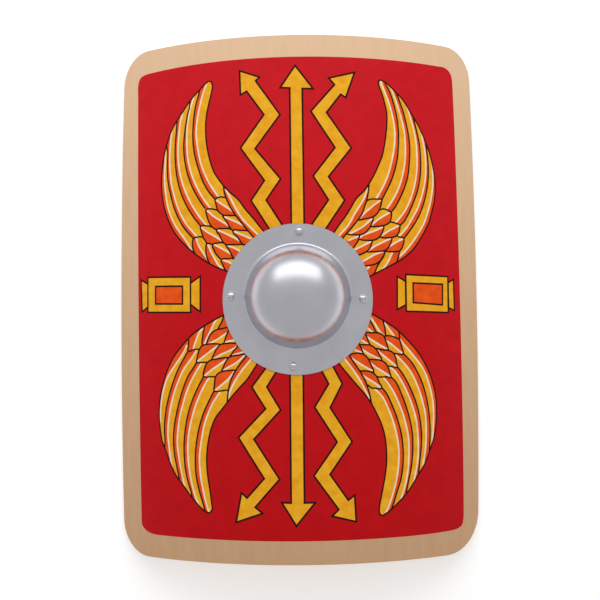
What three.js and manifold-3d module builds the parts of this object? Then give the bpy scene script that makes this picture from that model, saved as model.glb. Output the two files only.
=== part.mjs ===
// Roman scutum: a curved plywood shield with a steel boss bolted over its hand hole and a
// wooden grip behind it. It lies face up on its two long edges, in millimetres, +Z up.
// +Y is the shield's long axis, towards its top; +X is its right-hand side seen from the face.
// The origin is on the ground, under the middle of the board.
import * as THREE from "three";
import { mergeVertices } from "three/addons/utils/BufferGeometryUtils.js";
import Module from "manifold-3d";

const wasm = await Module();
wasm.setup();

// Board
const boardLength = 700;
const boardWidth = 500; // straight across the waist, outer arris to outer arris
const boardRise = 80; // crown of the face above its long edges
const boardThickness = 6;
const sideBow = 5.3; // how much further out each long side is at the waist than at the ends
const cornerRadius = { topLeft: 45, topRight: 42, bottomLeft: 47, bottomRight: 55 };
const restPlaning = 1; // planed off the back arris of each long edge, so that it lies flat
const boardColumns = 32;
const cornerRows = 6;
const middleRows = 8;

// Boss: heights are above the board's face, radii are from the dome's axis
const bossCentreY = -4;
const flangeRadius = 100;
const steelThickness = 1.6;
const domeShiftX = 0.5; // the dome is not quite in the middle of its flange
const domeShiftY = 3;
const domeHeight = 50;
const domeSpring = 6; // height at which the dome's curve would stand upright
const domeRadius = 64.5;
const wallSlope = THREE.MathUtils.degToRad(68);
const creaseFillet = 5;
const domeSteps = 8;
const filletSteps = 3;
const bossSides = 44;

// Hand hole and grip
const handHoleRadius = 60;
const gripHalfLength = 112;
const gripPadThickness = 12;
const gripPadStart = 64; // the pads run from here to the grip's ends
const gripPadHalfWidth = 17;
const gripHandHalf = 40; // the hand holds the bar between here and its mirror place
const gripNeckEnd = 55; // the bar has widened to its pads' section here, clear of the hand hole's edge
const gripHandHalfWidth = 13;
const gripHandThickness = 20;
const gripPadArris = 2.5;
const gripHandArris = 8;
const gripEndEase = 1.5;

// Fasteners
const boltRadius = 2.5;
const headRadius = 6.2;
const headHeight = 3.3;
const washerRadius = 7.5;
const washerThickness = 1.2;
const nutAcrossFlats = 8;
const nutHeight = 4;
const boltStickOut = 2;
const boltTipChamfer = 0.5;
const gap = 0.3; // between pieces that touch
const holeRadius = boltRadius + 0.5;
const roundSides = 16;

// Each bolt: its compass direction from the boss's centre, and how far out it is
const boltPlaces = {
  top: { bearing: 2, reach: 89.3 },
  right: { bearing: 90.4, reach: 87.7 },
  bottom: { bearing: 184, reach: 89.1 },
  left: { bearing: 273, reach: 90.5 },
};

const paintRed = { color: 0xb9141f, roughness: 0.5, metalness: 0 };
const steel = { color: 0x9a9ba1, roughness: 0.38, metalness: 1 };
const zincPlate = { color: 0xc4c6ca, roughness: 0.25, metalness: 1 };
const ashWood = { color: 0xb98d5b, roughness: 0.6, metalness: 0 };

// The board's cross-section at each y is an arc through the crown and both long edges
function crossArc(y) {
  const halfChord = boardWidth / 2 - sideBow * (2 * y / boardLength) ** 2;
  const radius = (halfChord ** 2 + boardRise ** 2) / (2 * boardRise);
  return { radius, halfArc: radius * Math.asin(halfChord / radius) };
}

const waist = crossArc(0);
const edgeSlope = waist.halfArc / waist.radius;
const crownZ = boardRise + boardThickness * Math.cos(edgeSlope) - restPlaning;

// A place on the board: s along its curved face from the crown line, y, and the depth below the face
function onBoard(s, y, depth) {
  const { radius } = crossArc(y);
  const angle = s / radius;
  const x = (radius - depth) * Math.sin(angle);
  const z = crownZ - radius + (radius - depth) * Math.cos(angle);
  return new THREE.Vector3(x, y, z);
}

// How far the surface at the given depth has fallen below the crown of the face
function fallAt(x, y, depth) {
  const { radius } = crossArc(y);
  return radius - Math.sqrt((radius - depth) ** 2 - x ** 2);
}

function toSolid(geometry) {
  const bare = geometry.clone();
  bare.deleteAttribute("normal");
  bare.deleteAttribute("uv");
  const merged = mergeVertices(bare);
  const vertProperties = new Float32Array(merged.attributes.position.array);
  const triVerts = new Uint32Array(merged.index.array);
  return new wasm.Manifold(new wasm.Mesh({ numProp: 3, vertProperties, triVerts }));
}

function toGeometry(solid) {
  const { vertProperties, triVerts } = solid.getMesh();
  const geometry = new THREE.BufferGeometry();
  geometry.setAttribute("position", new THREE.BufferAttribute(vertProperties, 3));
  geometry.setIndex(new THREE.BufferAttribute(triVerts, 1));
  geometry.computeVertexNormals();
  return geometry;
}

// A closed skin over rings of points, where rings[i][j] goes round ring i. A fan of triangles closes each
// end, unless the end ring is a single point.
function skinOver(rings) {
  const positions = [];
  const indices = [];
  const sides = rings[0].length;
  for (const ring of rings) {
    for (const point of ring) {
      positions.push(point.x, point.y, point.z);
    }
  }
  for (let i = 0; i + 1 < rings.length; i += 1) {
    for (let j = 0; j < sides; j += 1) {
      const a = i * sides + j;
      const b = i * sides + (j + 1) % sides;
      indices.push(a, b, b + sides, a, b + sides, a + sides);
    }
  }
  const last = (rings.length - 1) * sides;
  for (let j = 1; j + 1 < sides; j += 1) {
    indices.push(0, j + 1, j);
    indices.push(last, last + j, last + j + 1);
  }
  const geometry = new THREE.BufferGeometry();
  geometry.setAttribute("position", new THREE.Float32BufferAttribute(positions, 3));
  geometry.setIndex(indices);
  return geometry;
}

// ---- Board ----

// How far the rounded corner takes the long side in, at this y
function cornerInset(y, radius) {
  const intoCorner = Math.abs(y) - (boardLength / 2 - radius);
  return intoCorner > 0 ? radius - Math.sqrt(Math.max(radius ** 2 - intoCorner ** 2, 0)) : 0;
}

function boardRowPlaces() {
  const largest = Math.max(...Object.values(cornerRadius));
  const cornerStart = boardLength / 2 - largest;
  const places = [];
  for (let i = 0; i < middleRows; i += 1) {
    places.push(-cornerStart + 2 * cornerStart * i / middleRows);
  }
  for (let i = 0; i <= cornerRows; i += 1) {
    const into = largest * Math.sin(Math.PI / 2 * i / cornerRows);
    places.push(cornerStart + into);
    if (i > 0) {
      places.push(-cornerStart - into);
    }
  }
  return places.sort((a, b) => a - b);
}

// One ring goes across the face from left to right and comes back along the board's back
function boardRing(y) {
  const { halfArc } = crossArc(y);
  const left = y < 0 ? cornerRadius.bottomLeft : cornerRadius.topLeft;
  const right = y < 0 ? cornerRadius.bottomRight : cornerRadius.topRight;
  const start = -halfArc + cornerInset(y, left);
  const end = halfArc - cornerInset(y, right);
  const face = [];
  const back = [];
  for (let i = 0; i <= boardColumns; i += 1) {
    const s = start + (end - start) * i / boardColumns;
    face.push(onBoard(s, y, 0));
    back.unshift(onBoard(s, y, boardThickness));
  }
  return [...face, ...back];
}

// The two ends of the board are strips between its face and its back, not fans
function boardGeometry() {
  const rings = boardRowPlaces().map(boardRing);
  const skin = skinOver(rings);
  const sides = rings[0].length;
  const wallCount = (rings.length - 1) * sides * 6;
  const indices = Array.from(skin.index.array.slice(0, wallCount));
  const last = (rings.length - 1) * sides;
  for (let i = 0; i < boardColumns; i += 1) {
    const a = i;
    const b = i + 1;
    const c = sides - 2 - i;
    const d = sides - 1 - i;
    indices.push(a, c, b, a, d, c);
    indices.push(last + a, last + b, last + c, last + a, last + c, last + d);
  }
  skin.setIndex(indices);
  return skin;
}

// ---- Places of the four bolts ----

const boltSeats = Object.entries(boltPlaces).map(([name, { bearing, reach }]) => {
  const angle = THREE.MathUtils.degToRad(bearing);
  const s = reach * Math.sin(angle);
  const y = bossCentreY + reach * Math.cos(angle);
  const tilt = s / crossArc(y).radius;
  const throughGrip = Math.abs(s) > gripPadStart;
  return { name, s, y, tilt, throughGrip };
});

// Stands a shape made along +Z on the board's face at a bolt, square to the face there
function standAt(object, seat) {
  object.position.copy(onBoard(seat.s, seat.y, 0));
  object.rotation.set(0, seat.tilt, 0);
  object.updateMatrix();
  return object;
}

function boltHole(seat) {
  const drillLength = 80;
  const geometry = new THREE.CylinderGeometry(holeRadius, holeRadius, drillLength, roundSides);
  geometry.rotateX(Math.PI / 2);
  const holder = standAt(new THREE.Object3D(), seat);
  geometry.applyMatrix4(holder.matrix);
  return toSolid(geometry);
}

function drilled(solid, seats) {
  return seats.reduce((rest, seat) => rest.subtract(boltHole(seat)), solid);
}

function handHole() {
  const cutterLength = 3 * boardRise;
  const geometry = new THREE.CylinderGeometry(handHoleRadius, handHoleRadius, cutterLength, 3 * roundSides);
  geometry.rotateX(Math.PI / 2);
  geometry.translate(0, bossCentreY, crownZ);
  return toSolid(geometry);
}

// Everything under the ground, to plane the long edges with
function groundBlock() {
  const depth = 40;
  const geometry = new THREE.BoxGeometry(2 * boardWidth, 2 * boardLength, depth);
  geometry.translate(0, 0, -depth / 2);
  return toSolid(geometry);
}

function board() {
  const blank = toSolid(boardGeometry()).subtract(groundBlock()).subtract(handHole());
  return toGeometry(drilled(blank, boltSeats));
}

// ---- Boss ----

// The outside of the boss from its crown to its rim. follow is 1 where it lies along the board, and 0 at the
// crown, which is round. The inside is the same line, moved in by the steel's thickness.
function bossOutline(inset) {
  const flangeTop = gap + steelThickness - inset;
  const rise = domeHeight - domeSpring;
  const joinAngle = Math.atan(Math.tan(wallSlope) * domeRadius / rise);
  const fillet = creaseFillet + inset;
  const stations = [];
  for (let i = 0; i <= domeSteps; i += 1) {
    const angle = joinAngle * i / domeSteps;
    const slope = Math.atan(Math.tan(angle) * rise / domeRadius);
    const r = domeRadius * Math.sin(angle) - inset * Math.sin(slope);
    const h = domeSpring + rise * Math.cos(angle) - inset * Math.cos(slope);
    stations.push({ r, h });
  }
  const join = stations[domeSteps];
  const wallDrop = join.h - flangeTop - fillet * (1 - Math.cos(wallSlope));
  const filletCentre = join.r + wallDrop / Math.tan(wallSlope) + fillet * Math.sin(wallSlope);
  for (let i = 0; i <= filletSteps; i += 1) {
    const angle = wallSlope * (1 - i / filletSteps);
    const r = filletCentre - fillet * Math.sin(angle);
    const h = flangeTop + fillet * (1 - Math.cos(angle));
    stations.push({ r, h });
  }
  stations.push({ r: (filletCentre + flangeRadius) / 2, h: flangeTop });
  stations.push({ r: flangeRadius, h: flangeTop });
  for (const station of stations) {
    station.follow = 1 - THREE.MathUtils.smoothstep(station.h, fillet, domeHeight);
    station.shift = THREE.MathUtils.clamp((flangeRadius - station.r) / (flangeRadius - filletCentre), 0, 1);
  }
  return stations;
}

// Where the board falls away the wall runs on down at its own slope, so the crease is wider there
function bossPoint({ r, h, follow, shift }, angle) {
  const fall = fallAt(r * Math.cos(angle), bossCentreY, 0);
  const reach = r + shift * follow * fall / Math.tan(wallSlope);
  const x = domeShiftX * shift + reach * Math.cos(angle);
  const y = bossCentreY + domeShiftY * shift + reach * Math.sin(angle);
  return new THREE.Vector3(x, y, crownZ + h - follow * fallAt(x, y, 0));
}

function boss() {
  const outside = bossOutline(0);
  const inside = bossOutline(steelThickness).reverse();
  const rings = [...outside, ...inside].map((station) => {
    const ring = [];
    for (let i = 0; i < bossSides; i += 1) {
      ring.push(bossPoint(station, -2 * Math.PI * i / bossSides));
    }
    return ring;
  });
  const shell = toSolid(skinOver(rings));
  return toGeometry(drilled(shell, boltSeats));
}

// ---- Grip ----

// The flat back of each end pad is square to its bolt
const padBoltS = (boltPlaces.left.reach + boltPlaces.right.reach) / 2;
const padSlope = padBoltS / waist.radius;
const padBackDepth = boardThickness + gap + gripPadThickness;
const padBack = onBoard(padBoltS, 0, padBackDepth);
const gripHandBack = padBack.z + Math.tan(padSlope) * (padBack.x - gripPadStart);

// One ring of the grip at this x: a rectangle with rounded arrises
function gripRing(x, ease) {
  const away = Math.abs(x);
  const hand = 1 - THREE.MathUtils.smoothstep(away, gripHandHalf, gripNeckEnd);
  const padTop = crownZ - fallAt(x, bossCentreY, boardThickness + gap);
  const back = gripHandBack - Math.tan(padSlope) * Math.max(away - gripPadStart, 0) + ease;
  const top = THREE.MathUtils.lerp(padTop, gripHandBack + gripHandThickness, hand) - ease;
  const halfWidth = THREE.MathUtils.lerp(gripPadHalfWidth, gripHandHalfWidth, hand) - ease;
  const arris = THREE.MathUtils.lerp(gripPadArris, gripHandArris, hand);
  const arrisSteps = 2;
  const corners = [
    { y: halfWidth - arris, z: top - arris },
    { y: arris - halfWidth, z: top - arris },
    { y: arris - halfWidth, z: back + arris },
    { y: halfWidth - arris, z: back + arris },
  ];
  return corners.flatMap((corner, quarter) => {
    const points = [];
    for (let i = 0; i <= arrisSteps; i += 1) {
      const angle = Math.PI / 2 * (quarter + i / arrisSteps);
      const y = bossCentreY + corner.y + arris * Math.cos(angle);
      points.push(new THREE.Vector3(x, y, corner.z + arris * Math.sin(angle)));
    }
    return points;
  });
}

function grip() {
  const neckSteps = 4;
  const padSteps = 4;
  const halfPlaces = [0, gripHandHalf / 2];
  for (let i = 0; i <= neckSteps; i += 1) {
    halfPlaces.push(gripHandHalf + (gripNeckEnd - gripHandHalf) * i / neckSteps);
  }
  for (let i = 0; i <= padSteps; i += 1) {
    const padEnd = gripHalfLength - gripEndEase;
    halfPlaces.push(gripPadStart + (padEnd - gripPadStart) * i / padSteps);
  }
  const places = [...halfPlaces.slice(1).reverse().map((x) => -x), ...halfPlaces];
  const rings = places.map((x) => gripRing(x, 0));
  rings.unshift(gripRing(-gripHalfLength, gripEndEase));
  rings.push(gripRing(gripHalfLength, gripEndEase));
  return toGeometry(drilled(toSolid(skinOver(rings)), boltSeats.filter((seat) => seat.throughGrip)));
}

// ---- Fasteners: made along +Z, with z = 0 at the board's face ----

function clampedDepth(seat) {
  return seat.throughGrip ? padBackDepth : boardThickness;
}

function boltGeometry(seat) {
  const headBase = 2 * gap + steelThickness;
  const domeCurve = (headRadius ** 2 + headHeight ** 2) / (2 * headHeight);
  const domeAngle = Math.asin(headRadius / domeCurve);
  const tip = -(clampedDepth(seat) + 2 * gap + washerThickness + nutHeight + boltStickOut);
  const outline = [
    new THREE.Vector2(0, tip),
    new THREE.Vector2(boltRadius - boltTipChamfer, tip),
    new THREE.Vector2(boltRadius, tip + boltTipChamfer),
    new THREE.Vector2(boltRadius, headBase),
  ];
  const headSteps = 4;
  for (let i = headSteps; i >= 0; i -= 1) {
    const angle = domeAngle * i / headSteps;
    const drop = domeCurve * (1 - Math.cos(angle));
    outline.push(new THREE.Vector2(domeCurve * Math.sin(angle), headBase + headHeight - drop));
  }
  const geometry = new THREE.LatheGeometry(outline, roundSides);
  return geometry.rotateX(Math.PI / 2);
}

// A flat ring between two depths, with any number of sides outside
function ringGeometry(outerRadius, sides, topDepth, thickness) {
  const shape = new THREE.Shape();
  for (let i = 0; i < sides; i += 1) {
    const angle = 2 * Math.PI * i / sides;
    const [x, y] = [outerRadius * Math.cos(angle), outerRadius * Math.sin(angle)];
    if (i === 0) {
      shape.moveTo(x, y);
    } else {
      shape.lineTo(x, y);
    }
  }
  shape.closePath();
  const bore = new THREE.Path().absarc(0, 0, holeRadius, 0, 2 * Math.PI, true);
  shape.holes.push(bore);
  const options = { depth: thickness, bevelEnabled: false, curveSegments: roundSides / 2 };
  return new THREE.ExtrudeGeometry(shape, options).translate(0, 0, -topDepth - thickness);
}

function washerGeometry(seat) {
  return ringGeometry(washerRadius, roundSides, clampedDepth(seat) + gap, washerThickness);
}

function nutGeometry(seat) {
  const cornerReach = nutAcrossFlats / Math.sqrt(3);
  const topDepth = clampedDepth(seat) + 2 * gap + washerThickness;
  return ringGeometry(cornerReach, 6, topDepth, nutHeight);
}

// ---- Assembly ----

function named(name, geometry, finish) {
  const mesh = new THREE.Mesh(geometry, new THREE.MeshStandardMaterial(finish));
  mesh.name = name;
  return mesh;
}

const shield = new THREE.Group();
shield.add(named("board", board(), paintRed));
shield.add(named("boss", boss(), steel));
shield.add(named("grip", grip(), ashWood));
for (const seat of boltSeats) {
  shield.add(standAt(named(`bolt_${seat.name}`, boltGeometry(seat), zincPlate), seat));
  shield.add(standAt(named(`washer_${seat.name}`, washerGeometry(seat), zincPlate), seat));
  shield.add(standAt(named(`nut_${seat.name}`, nutGeometry(seat), zincPlate), seat));
}

export default shield;
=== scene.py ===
"""Roman scutum, lying face up: a curved plywood board painted with wings and thunderbolts, a spun steel boss
bolted over its hand hole, and an ash grip behind it. Lengths are in millimetres until a mesh is made."""
import math

import bpy
import numpy
from mathutils import Matrix, Vector
from mathutils.geometry import delaunay_2d_cdt
from mathutils.kdtree import KDTree


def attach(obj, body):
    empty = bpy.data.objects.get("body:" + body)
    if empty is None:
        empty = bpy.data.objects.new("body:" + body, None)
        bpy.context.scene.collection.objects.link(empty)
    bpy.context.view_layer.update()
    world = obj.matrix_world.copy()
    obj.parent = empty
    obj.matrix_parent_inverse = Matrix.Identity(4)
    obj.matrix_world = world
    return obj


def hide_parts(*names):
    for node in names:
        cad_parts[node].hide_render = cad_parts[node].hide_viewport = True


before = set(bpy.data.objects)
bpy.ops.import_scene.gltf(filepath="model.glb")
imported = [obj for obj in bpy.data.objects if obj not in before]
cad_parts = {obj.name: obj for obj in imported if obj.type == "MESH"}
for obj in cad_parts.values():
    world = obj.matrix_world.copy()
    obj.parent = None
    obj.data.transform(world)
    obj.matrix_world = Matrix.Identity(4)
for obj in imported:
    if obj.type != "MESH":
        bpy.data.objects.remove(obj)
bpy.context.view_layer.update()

MM = 0.001

# Board
BOARD_LENGTH = 700
BOARD_WIDTH = 500
BOARD_RISE = 80
BOARD_THICKNESS = 6
SIDE_BOW = 5.3
CORNER_RADIUS = {"top left": 45, "top right": 42, "bottom left": 47, "bottom right": 55}
REST_PLANING = 1
EDGE_EASING = 0.8
PLY_THICKNESS = 1.2
EDGE_PROFILE = [(EDGE_EASING, 0), (0.25, 0.2), (0, 0.8), (0, 5.2), (0.25, 5.8),
                (EDGE_EASING, BOARD_THICKNESS)]
HAND_HOLE_RADIUS = 60

# Boss
BOSS_CENTRE_Y = -4
FLANGE_RADIUS = 100
STEEL_THICKNESS = 1.6
DOME_SHIFT_X = 0.5
DOME_SHIFT_Y = 3
DOME_HEIGHT = 50
DOME_SPRING = 6
DOME_RADIUS = 64.5
WALL_SLOPE = math.radians(68)
CREASE_FILLET = 5

# Fasteners
BOLT_RADIUS = 2.5
BOLT_HOLE_RADIUS = 3
HEAD_RADIUS = 6.2
HEAD_HEIGHT = 3.3
WASHER_RADIUS = 7.5
WASHER_THICKNESS = 1.2
NUT_ACROSS_FLATS = 8
NUT_HEIGHT = 4
BOLT_STICK_OUT = 2
GAP = 0.3
BOLT_PLACES = {"top": (2, 89.3), "right": (90.4, 87.7), "bottom": (184, 89.1), "left": (273, 90.5)}

# Grip
GRIP_HALF_LENGTH = 112
GRIP_PAD_THICKNESS = 12
GRIP_PAD_START = 64
GRIP_PAD_HALF_WIDTH = 17
GRIP_HAND_HALF = 40
GRIP_NECK_END = 55
GRIP_HAND_HALF_WIDTH = 13
GRIP_HAND_THICKNESS = 20
GRIP_PAD_ARRIS = 2.5
GRIP_HAND_ARRIS = 8

# Fineness of the meshes
FACE_SPACING = 9
BACK_SPACING = 14
MERGE_DISTANCE = 0.01
FLAT_TOLERANCE = 1e-4
TURNED_STEPS = 48
BOSS_STEPS = 160
DOME_STEPS = 40
FILLET_STEPS = 10

# Paint and light
PAINT_SHINE = 0.12
WORLD_STRENGTH = 0.6
FLOOR_GLOW = 0.3
FLOOR_SIZE = 12
FLOOR_DROP = 0.0005
SOFTBOX_PLACE = (0, 1.3, 1.15)
SOFTBOX_SIZE = (2.6, 0.9)
SOFTBOX_WATTS = 13

# Where each part of the board lies in its bake map: the start of its band and the band's height
FACE_BAND = (0.29, 0.705)
BACK_BAND = (0.005, 0.18)
REST_BAND = 0.203
REST_BAND_PITCH = 0.015
WALL_BAND = 0.237
WALL_BAND_PITCH = 0.0085
WALL_DEPTH_SCALE = 0.001
MAP_ARC = 530


def smoothstep(value, low, high):
    t = min(max((value - low) / (high - low), 0), 1)
    return t * t * (3 - 2 * t)


def lerp(a, b, t):
    return a + (b - a) * t


# ---- The board's form ----

def cross_arc(y):
    """Radius of the face across the board at y, and the length of half its arc."""
    half_chord = BOARD_WIDTH / 2 - SIDE_BOW * (2 * y / BOARD_LENGTH) ** 2
    radius = (half_chord**2 + BOARD_RISE**2) / (2 * BOARD_RISE)
    return radius, radius * math.asin(half_chord / radius)


WAIST_RADIUS, WAIST_HALF_ARC = cross_arc(0)
CROWN_Z = BOARD_RISE + BOARD_THICKNESS * math.cos(WAIST_HALF_ARC / WAIST_RADIUS) - REST_PLANING


def on_board(s, y, depth):
    """A place in the board: s along the curved face from the crown line, y, and the depth below the face."""
    radius, _ = cross_arc(y)
    angle = s / radius
    reach = radius - depth
    return Vector((reach * math.sin(angle), y, CROWN_Z - radius + reach * math.cos(angle)))


def out_of_board(s, y):
    angle = s / cross_arc(y)[0]
    return Vector((math.sin(angle), 0, math.cos(angle)))


def fall_at(x, y, depth):
    radius, _ = cross_arc(y)
    return radius - math.sqrt((radius - depth) ** 2 - x**2)


def board_outline(inset):
    """The board's edge, anticlockwise on the unrolled face, drawn in by the inset."""
    side_steps, end_steps, corner_steps = 60, 44, 14
    corners = [("top right", 1, 1), ("top left", -1, 1), ("bottom left", -1, -1), ("bottom right", 1, -1)]
    points = []
    for name, side, end in corners:
        radius = CORNER_RADIUS[name]
        arc = []
        for i in range(corner_steps + 1):
            turn = math.pi / 2 * i / corner_steps
            y = end * (BOARD_LENGTH / 2 - radius + (radius - inset) * math.sin(turn))
            s = side * (cross_arc(y)[1] - radius + (radius - inset) * math.cos(turn))
            arc.append((s, y))
        points.append(arc if side == end else arc[::-1])
    loop = []
    for i, arc in enumerate(points):
        following = points[(i + 1) % 4][0]
        loop += arc
        steps = side_steps if i % 2 else end_steps
        for j in range(1, steps):
            y = lerp(arc[-1][1], following[1], j / steps)
            s = lerp(arc[-1][0], following[0], j / steps)
            if i % 2:
                s = math.copysign(cross_arc(y)[1] - inset, s)
            loop.append((s, y))
    return loop


def hand_hole(depth):
    steps = 96
    points = []
    for i in range(steps):
        angle = 2 * math.pi * i / steps
        x = HAND_HOLE_RADIUS * math.cos(angle)
        y = BOSS_CENTRE_Y + HAND_HOLE_RADIUS * math.sin(angle)
        radius, _ = cross_arc(y)
        points.append((radius * math.asin(x / (radius - depth)), y))
    return points


def bolt_seats():
    """Each bolt's name and its place on the unrolled face."""
    seats = {}
    for name, (bearing, reach) in BOLT_PLACES.items():
        angle = math.radians(bearing)
        seats[name] = (reach * math.sin(angle), BOSS_CENTRE_Y + reach * math.cos(angle))
    return seats


def ring_at(centre, radius, steps):
    turns = [2 * math.pi * i / steps for i in range(steps)]
    return [(centre[0] + radius * math.cos(t), centre[1] + radius * math.sin(t)) for t in turns]


# ---- Making meshes ----

def work_on(piece):
    if bpy.context.object and bpy.context.object.mode != "OBJECT":
        bpy.ops.object.mode_set(mode="OBJECT")
    bpy.ops.object.select_all(action="DESELECT")
    piece.select_set(True)
    bpy.context.view_layer.objects.active = piece


def new_piece(name, points, edges=(), faces=()):
    mesh = bpy.data.meshes.new(name)
    mesh.from_pydata([tuple(p) for p in points], list(edges), list(faces))
    piece = bpy.data.objects.new(name, mesh)
    bpy.context.scene.collection.objects.link(piece)
    work_on(piece)
    return piece


def edit_all():
    bpy.ops.object.mode_set(mode="EDIT")
    bpy.ops.mesh.select_all(action="SELECT")


def turned(name, outline, steps, closed):
    """An outline of (radius, height) points turned about the Z axis, with its faces pointing out."""
    edges = [(i, i + 1) for i in range(len(outline) - 1)]
    if closed:
        edges.append((len(outline) - 1, 0))
    piece = new_piece(name, [(r, 0, h) for r, h in outline], edges)
    edit_all()
    bpy.ops.mesh.spin(steps=steps, angle=2 * math.pi, center=(0, 0, 0), axis=(0, 0, 1), use_auto_merge=True)
    bpy.ops.mesh.select_all(action="SELECT")
    bpy.ops.mesh.remove_doubles(threshold=1e-4)
    bpy.ops.mesh.normals_make_consistent(inside=False)
    bpy.ops.object.mode_set(mode="OBJECT")
    return piece


def to_metres(piece, matrix=Matrix()):
    piece.data.transform(Matrix.Scale(MM, 4) @ matrix)


def smooth_by(angle):
    bpy.ops.object.shade_smooth_by_angle(angle=math.radians(angle))


def stand_on_board(seat):
    """Carries a shape made along +Z on the origin to a bolt's place, square to the face there."""
    s, y = seat
    return Matrix.Translation(on_board(s, y, 0)) @ Matrix.Rotation(s / cross_arc(y)[0], 4, "Y")


# ---- Board ----

def grid_points(outline, keep_off, spacing, clear):
    """Points all over the inside of the outline, clear of the lines already there."""
    lines = KDTree(len(keep_off))
    for i, (s, y) in enumerate(keep_off):
        lines.insert((s, y, 0), i)
    lines.balance()
    points = []
    rows = int(BOARD_LENGTH / spacing)
    for j in range(1, rows):
        y = BOARD_LENGTH * (j / rows - 0.5)
        half = cross_arc(y)[1]
        columns = int(2 * half / spacing)
        for i in range(1, columns):
            s = half * (2 * i / columns - 1)
            if lines.find((s, y, 0))[2] > clear:
                points.append((s, y))
    return points


def is_inside(outline, places):
    """Whether each place lies inside the outline, by its winding number."""
    corners = numpy.array(outline)
    following = numpy.roll(corners, -1, axis=0)
    low, high = corners.min(axis=0), corners.max(axis=0)
    near = numpy.flatnonzero(((places >= low) & (places <= high)).all(axis=1))
    inside = numpy.zeros(len(places), dtype=bool)
    s, y = places[near, 0][:, None], places[near, 1][:, None]
    rises = (corners[:, 1] <= y) & (following[:, 1] > y)
    falls = (corners[:, 1] > y) & (following[:, 1] <= y)
    turn = ((following[:, 0] - corners[:, 0]) * (y - corners[:, 1])
            - (s - corners[:, 0]) * (following[:, 1] - corners[:, 1]))
    winding = (rises & (turn > 0)).sum(axis=1) - (falls & (turn < 0)).sum(axis=1)
    inside[near] = winding != 0
    return inside


def fill_face(outline, holes, pictures, spacing):
    """Triangles over the unrolled face, each with the colour of the last painted shape over it.
    Returns the points, the triangles, their colours and where the points of the edge and holes went."""
    loops = [outline, *holes, *[p[0] for p in pictures]]
    flat = [point for loop in loops for point in loop]
    fixed = len(flat)
    flat += grid_points(outline, flat, spacing, 0.35 * spacing)
    edges, numbered = [], []
    start = 0
    for loop in loops:
        numbers = list(range(start, start + len(loop)))
        edges += zip(numbers, numbers[1:] + numbers[:1])
        numbered.append(numbers)
        start += len(loop)
    result = delaunay_2d_cdt([Vector(p) for p in flat], edges, [], 0, MERGE_DISTANCE, True)
    points, _, triangles, from_points, _, _ = result
    came_from = {}
    for new, old in enumerate(from_points):
        for index in old:
            if index < fixed:
                came_from[index] = new
    places = numpy.array([(p.x, p.y) for p in points])
    triangles = numpy.array(triangles)
    middles = places[triangles].mean(axis=1)
    kept = is_inside(outline, middles)
    for hole in holes:
        kept &= ~is_inside(hole, middles)
    triangles, middles = triangles[kept], middles[kept]
    colours = numpy.full(len(triangles), "border", dtype=object)
    for shape, colour, masks in pictures:
        covered = is_inside(shape, middles)
        for mask in masks:
            covered &= is_inside(mask, middles)
        colours[covered] = colour
    rims = [[came_from[i] for i in loop] for loop in numbered[:1 + len(holes)]]
    return [tuple(p) for p in places], triangles.tolist(), list(colours), rims


def board(pictures, slots):
    """The board as one closed mesh: painted face, eased edge, plain back, hand hole and bolt holes."""
    holes = [ring_at(seat, BOLT_HOLE_RADIUS, 16) for seat in bolt_seats().values()]
    rim_line = board_outline(EDGE_EASING)
    face = fill_face(rim_line, [hand_hole(0), *holes], pictures, FACE_SPACING)
    back = fill_face(rim_line, [hand_hole(BOARD_THICKNESS), *holes], [], BACK_SPACING)
    points, faces, kinds = [], [], []
    for (flat, triangles, colours, loops), depth in ((face, 0), (back, BOARD_THICKNESS)):
        offset = len(points)
        points += [on_board(s, y, depth) for s, y in flat]
        for triangle, colour in zip(triangles, colours):
            numbers = [offset + i for i in triangle]
            faces.append(numbers if depth == 0 else numbers[::-1])
            kinds.append(colour if depth == 0 else "back")
        for loop in loops:
            loop[:] = [offset + i for i in loop]

    def wall(above, below):
        for i in range(len(above)):
            j = (i + 1) % len(above)
            faces.append([above[i], below[i], below[j], above[j]])
            kinds.append("edge")

    rim = face[3][0]
    for inset, depth in EDGE_PROFILE[1:-1]:
        lower = range(len(points), len(points) + len(rim))
        points += [on_board(s, y, depth) for s, y in board_outline(inset)]
        wall(rim, list(lower))
        rim = list(lower)
    wall(rim, back[3][0])
    for above, below in zip(face[3][1:], back[3][1:]):
        wall(above[::-1], below[::-1])

    piece = new_piece("painted_board", points, (), faces)
    names = list(slots)
    for slot in names:
        piece.data.materials.append(slots[slot])
    piece.data.polygons.foreach_set("material_index", [names.index(kind) for kind in kinds])
    piece.data.polygons.foreach_set("use_smooth", [True] * len(kinds))
    edit_all()
    bpy.ops.mesh.bisect(plane_co=(0, 0, 0), plane_no=(0, 0, 1), use_fill=True, clear_inner=True)
    bpy.ops.object.mode_set(mode="OBJECT")
    true_normals(piece, names)
    record_depths(piece)
    bake_map(piece, names)
    to_metres(piece)
    return piece


def place_in_board(point):
    """The inverse of on_board."""
    radius, _ = cross_arc(point.y)
    height = point.z - CROWN_Z + radius
    return radius * math.atan2(point.x, height), point.y, radius - math.hypot(point.x, height)


def is_rest(corners):
    """Whether a face is part of the planed edges that the board rests on."""
    return all(abs(corner.z) < FLAT_TOLERANCE for corner in corners)


def true_normals(piece, names):
    """Face and back take the normals of the curve that they follow, whatever their triangles' shapes."""
    mesh = piece.data
    normals = [(0, 0, 0)] * len(mesh.loops)
    for polygon in mesh.polygons:
        kind = names[polygon.material_index]
        if kind == "edge" or is_rest([mesh.vertices[v].co for v in polygon.vertices]):
            polygon.use_smooth = False
            continue
        side = -1 if kind == "back" else 1
        for loop in polygon.loop_indices:
            s, y, _ = place_in_board(mesh.vertices[mesh.loops[loop].vertex_index].co)
            normals[loop] = side * out_of_board(s, y)
    mesh.normals_split_custom_set(normals)


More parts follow.
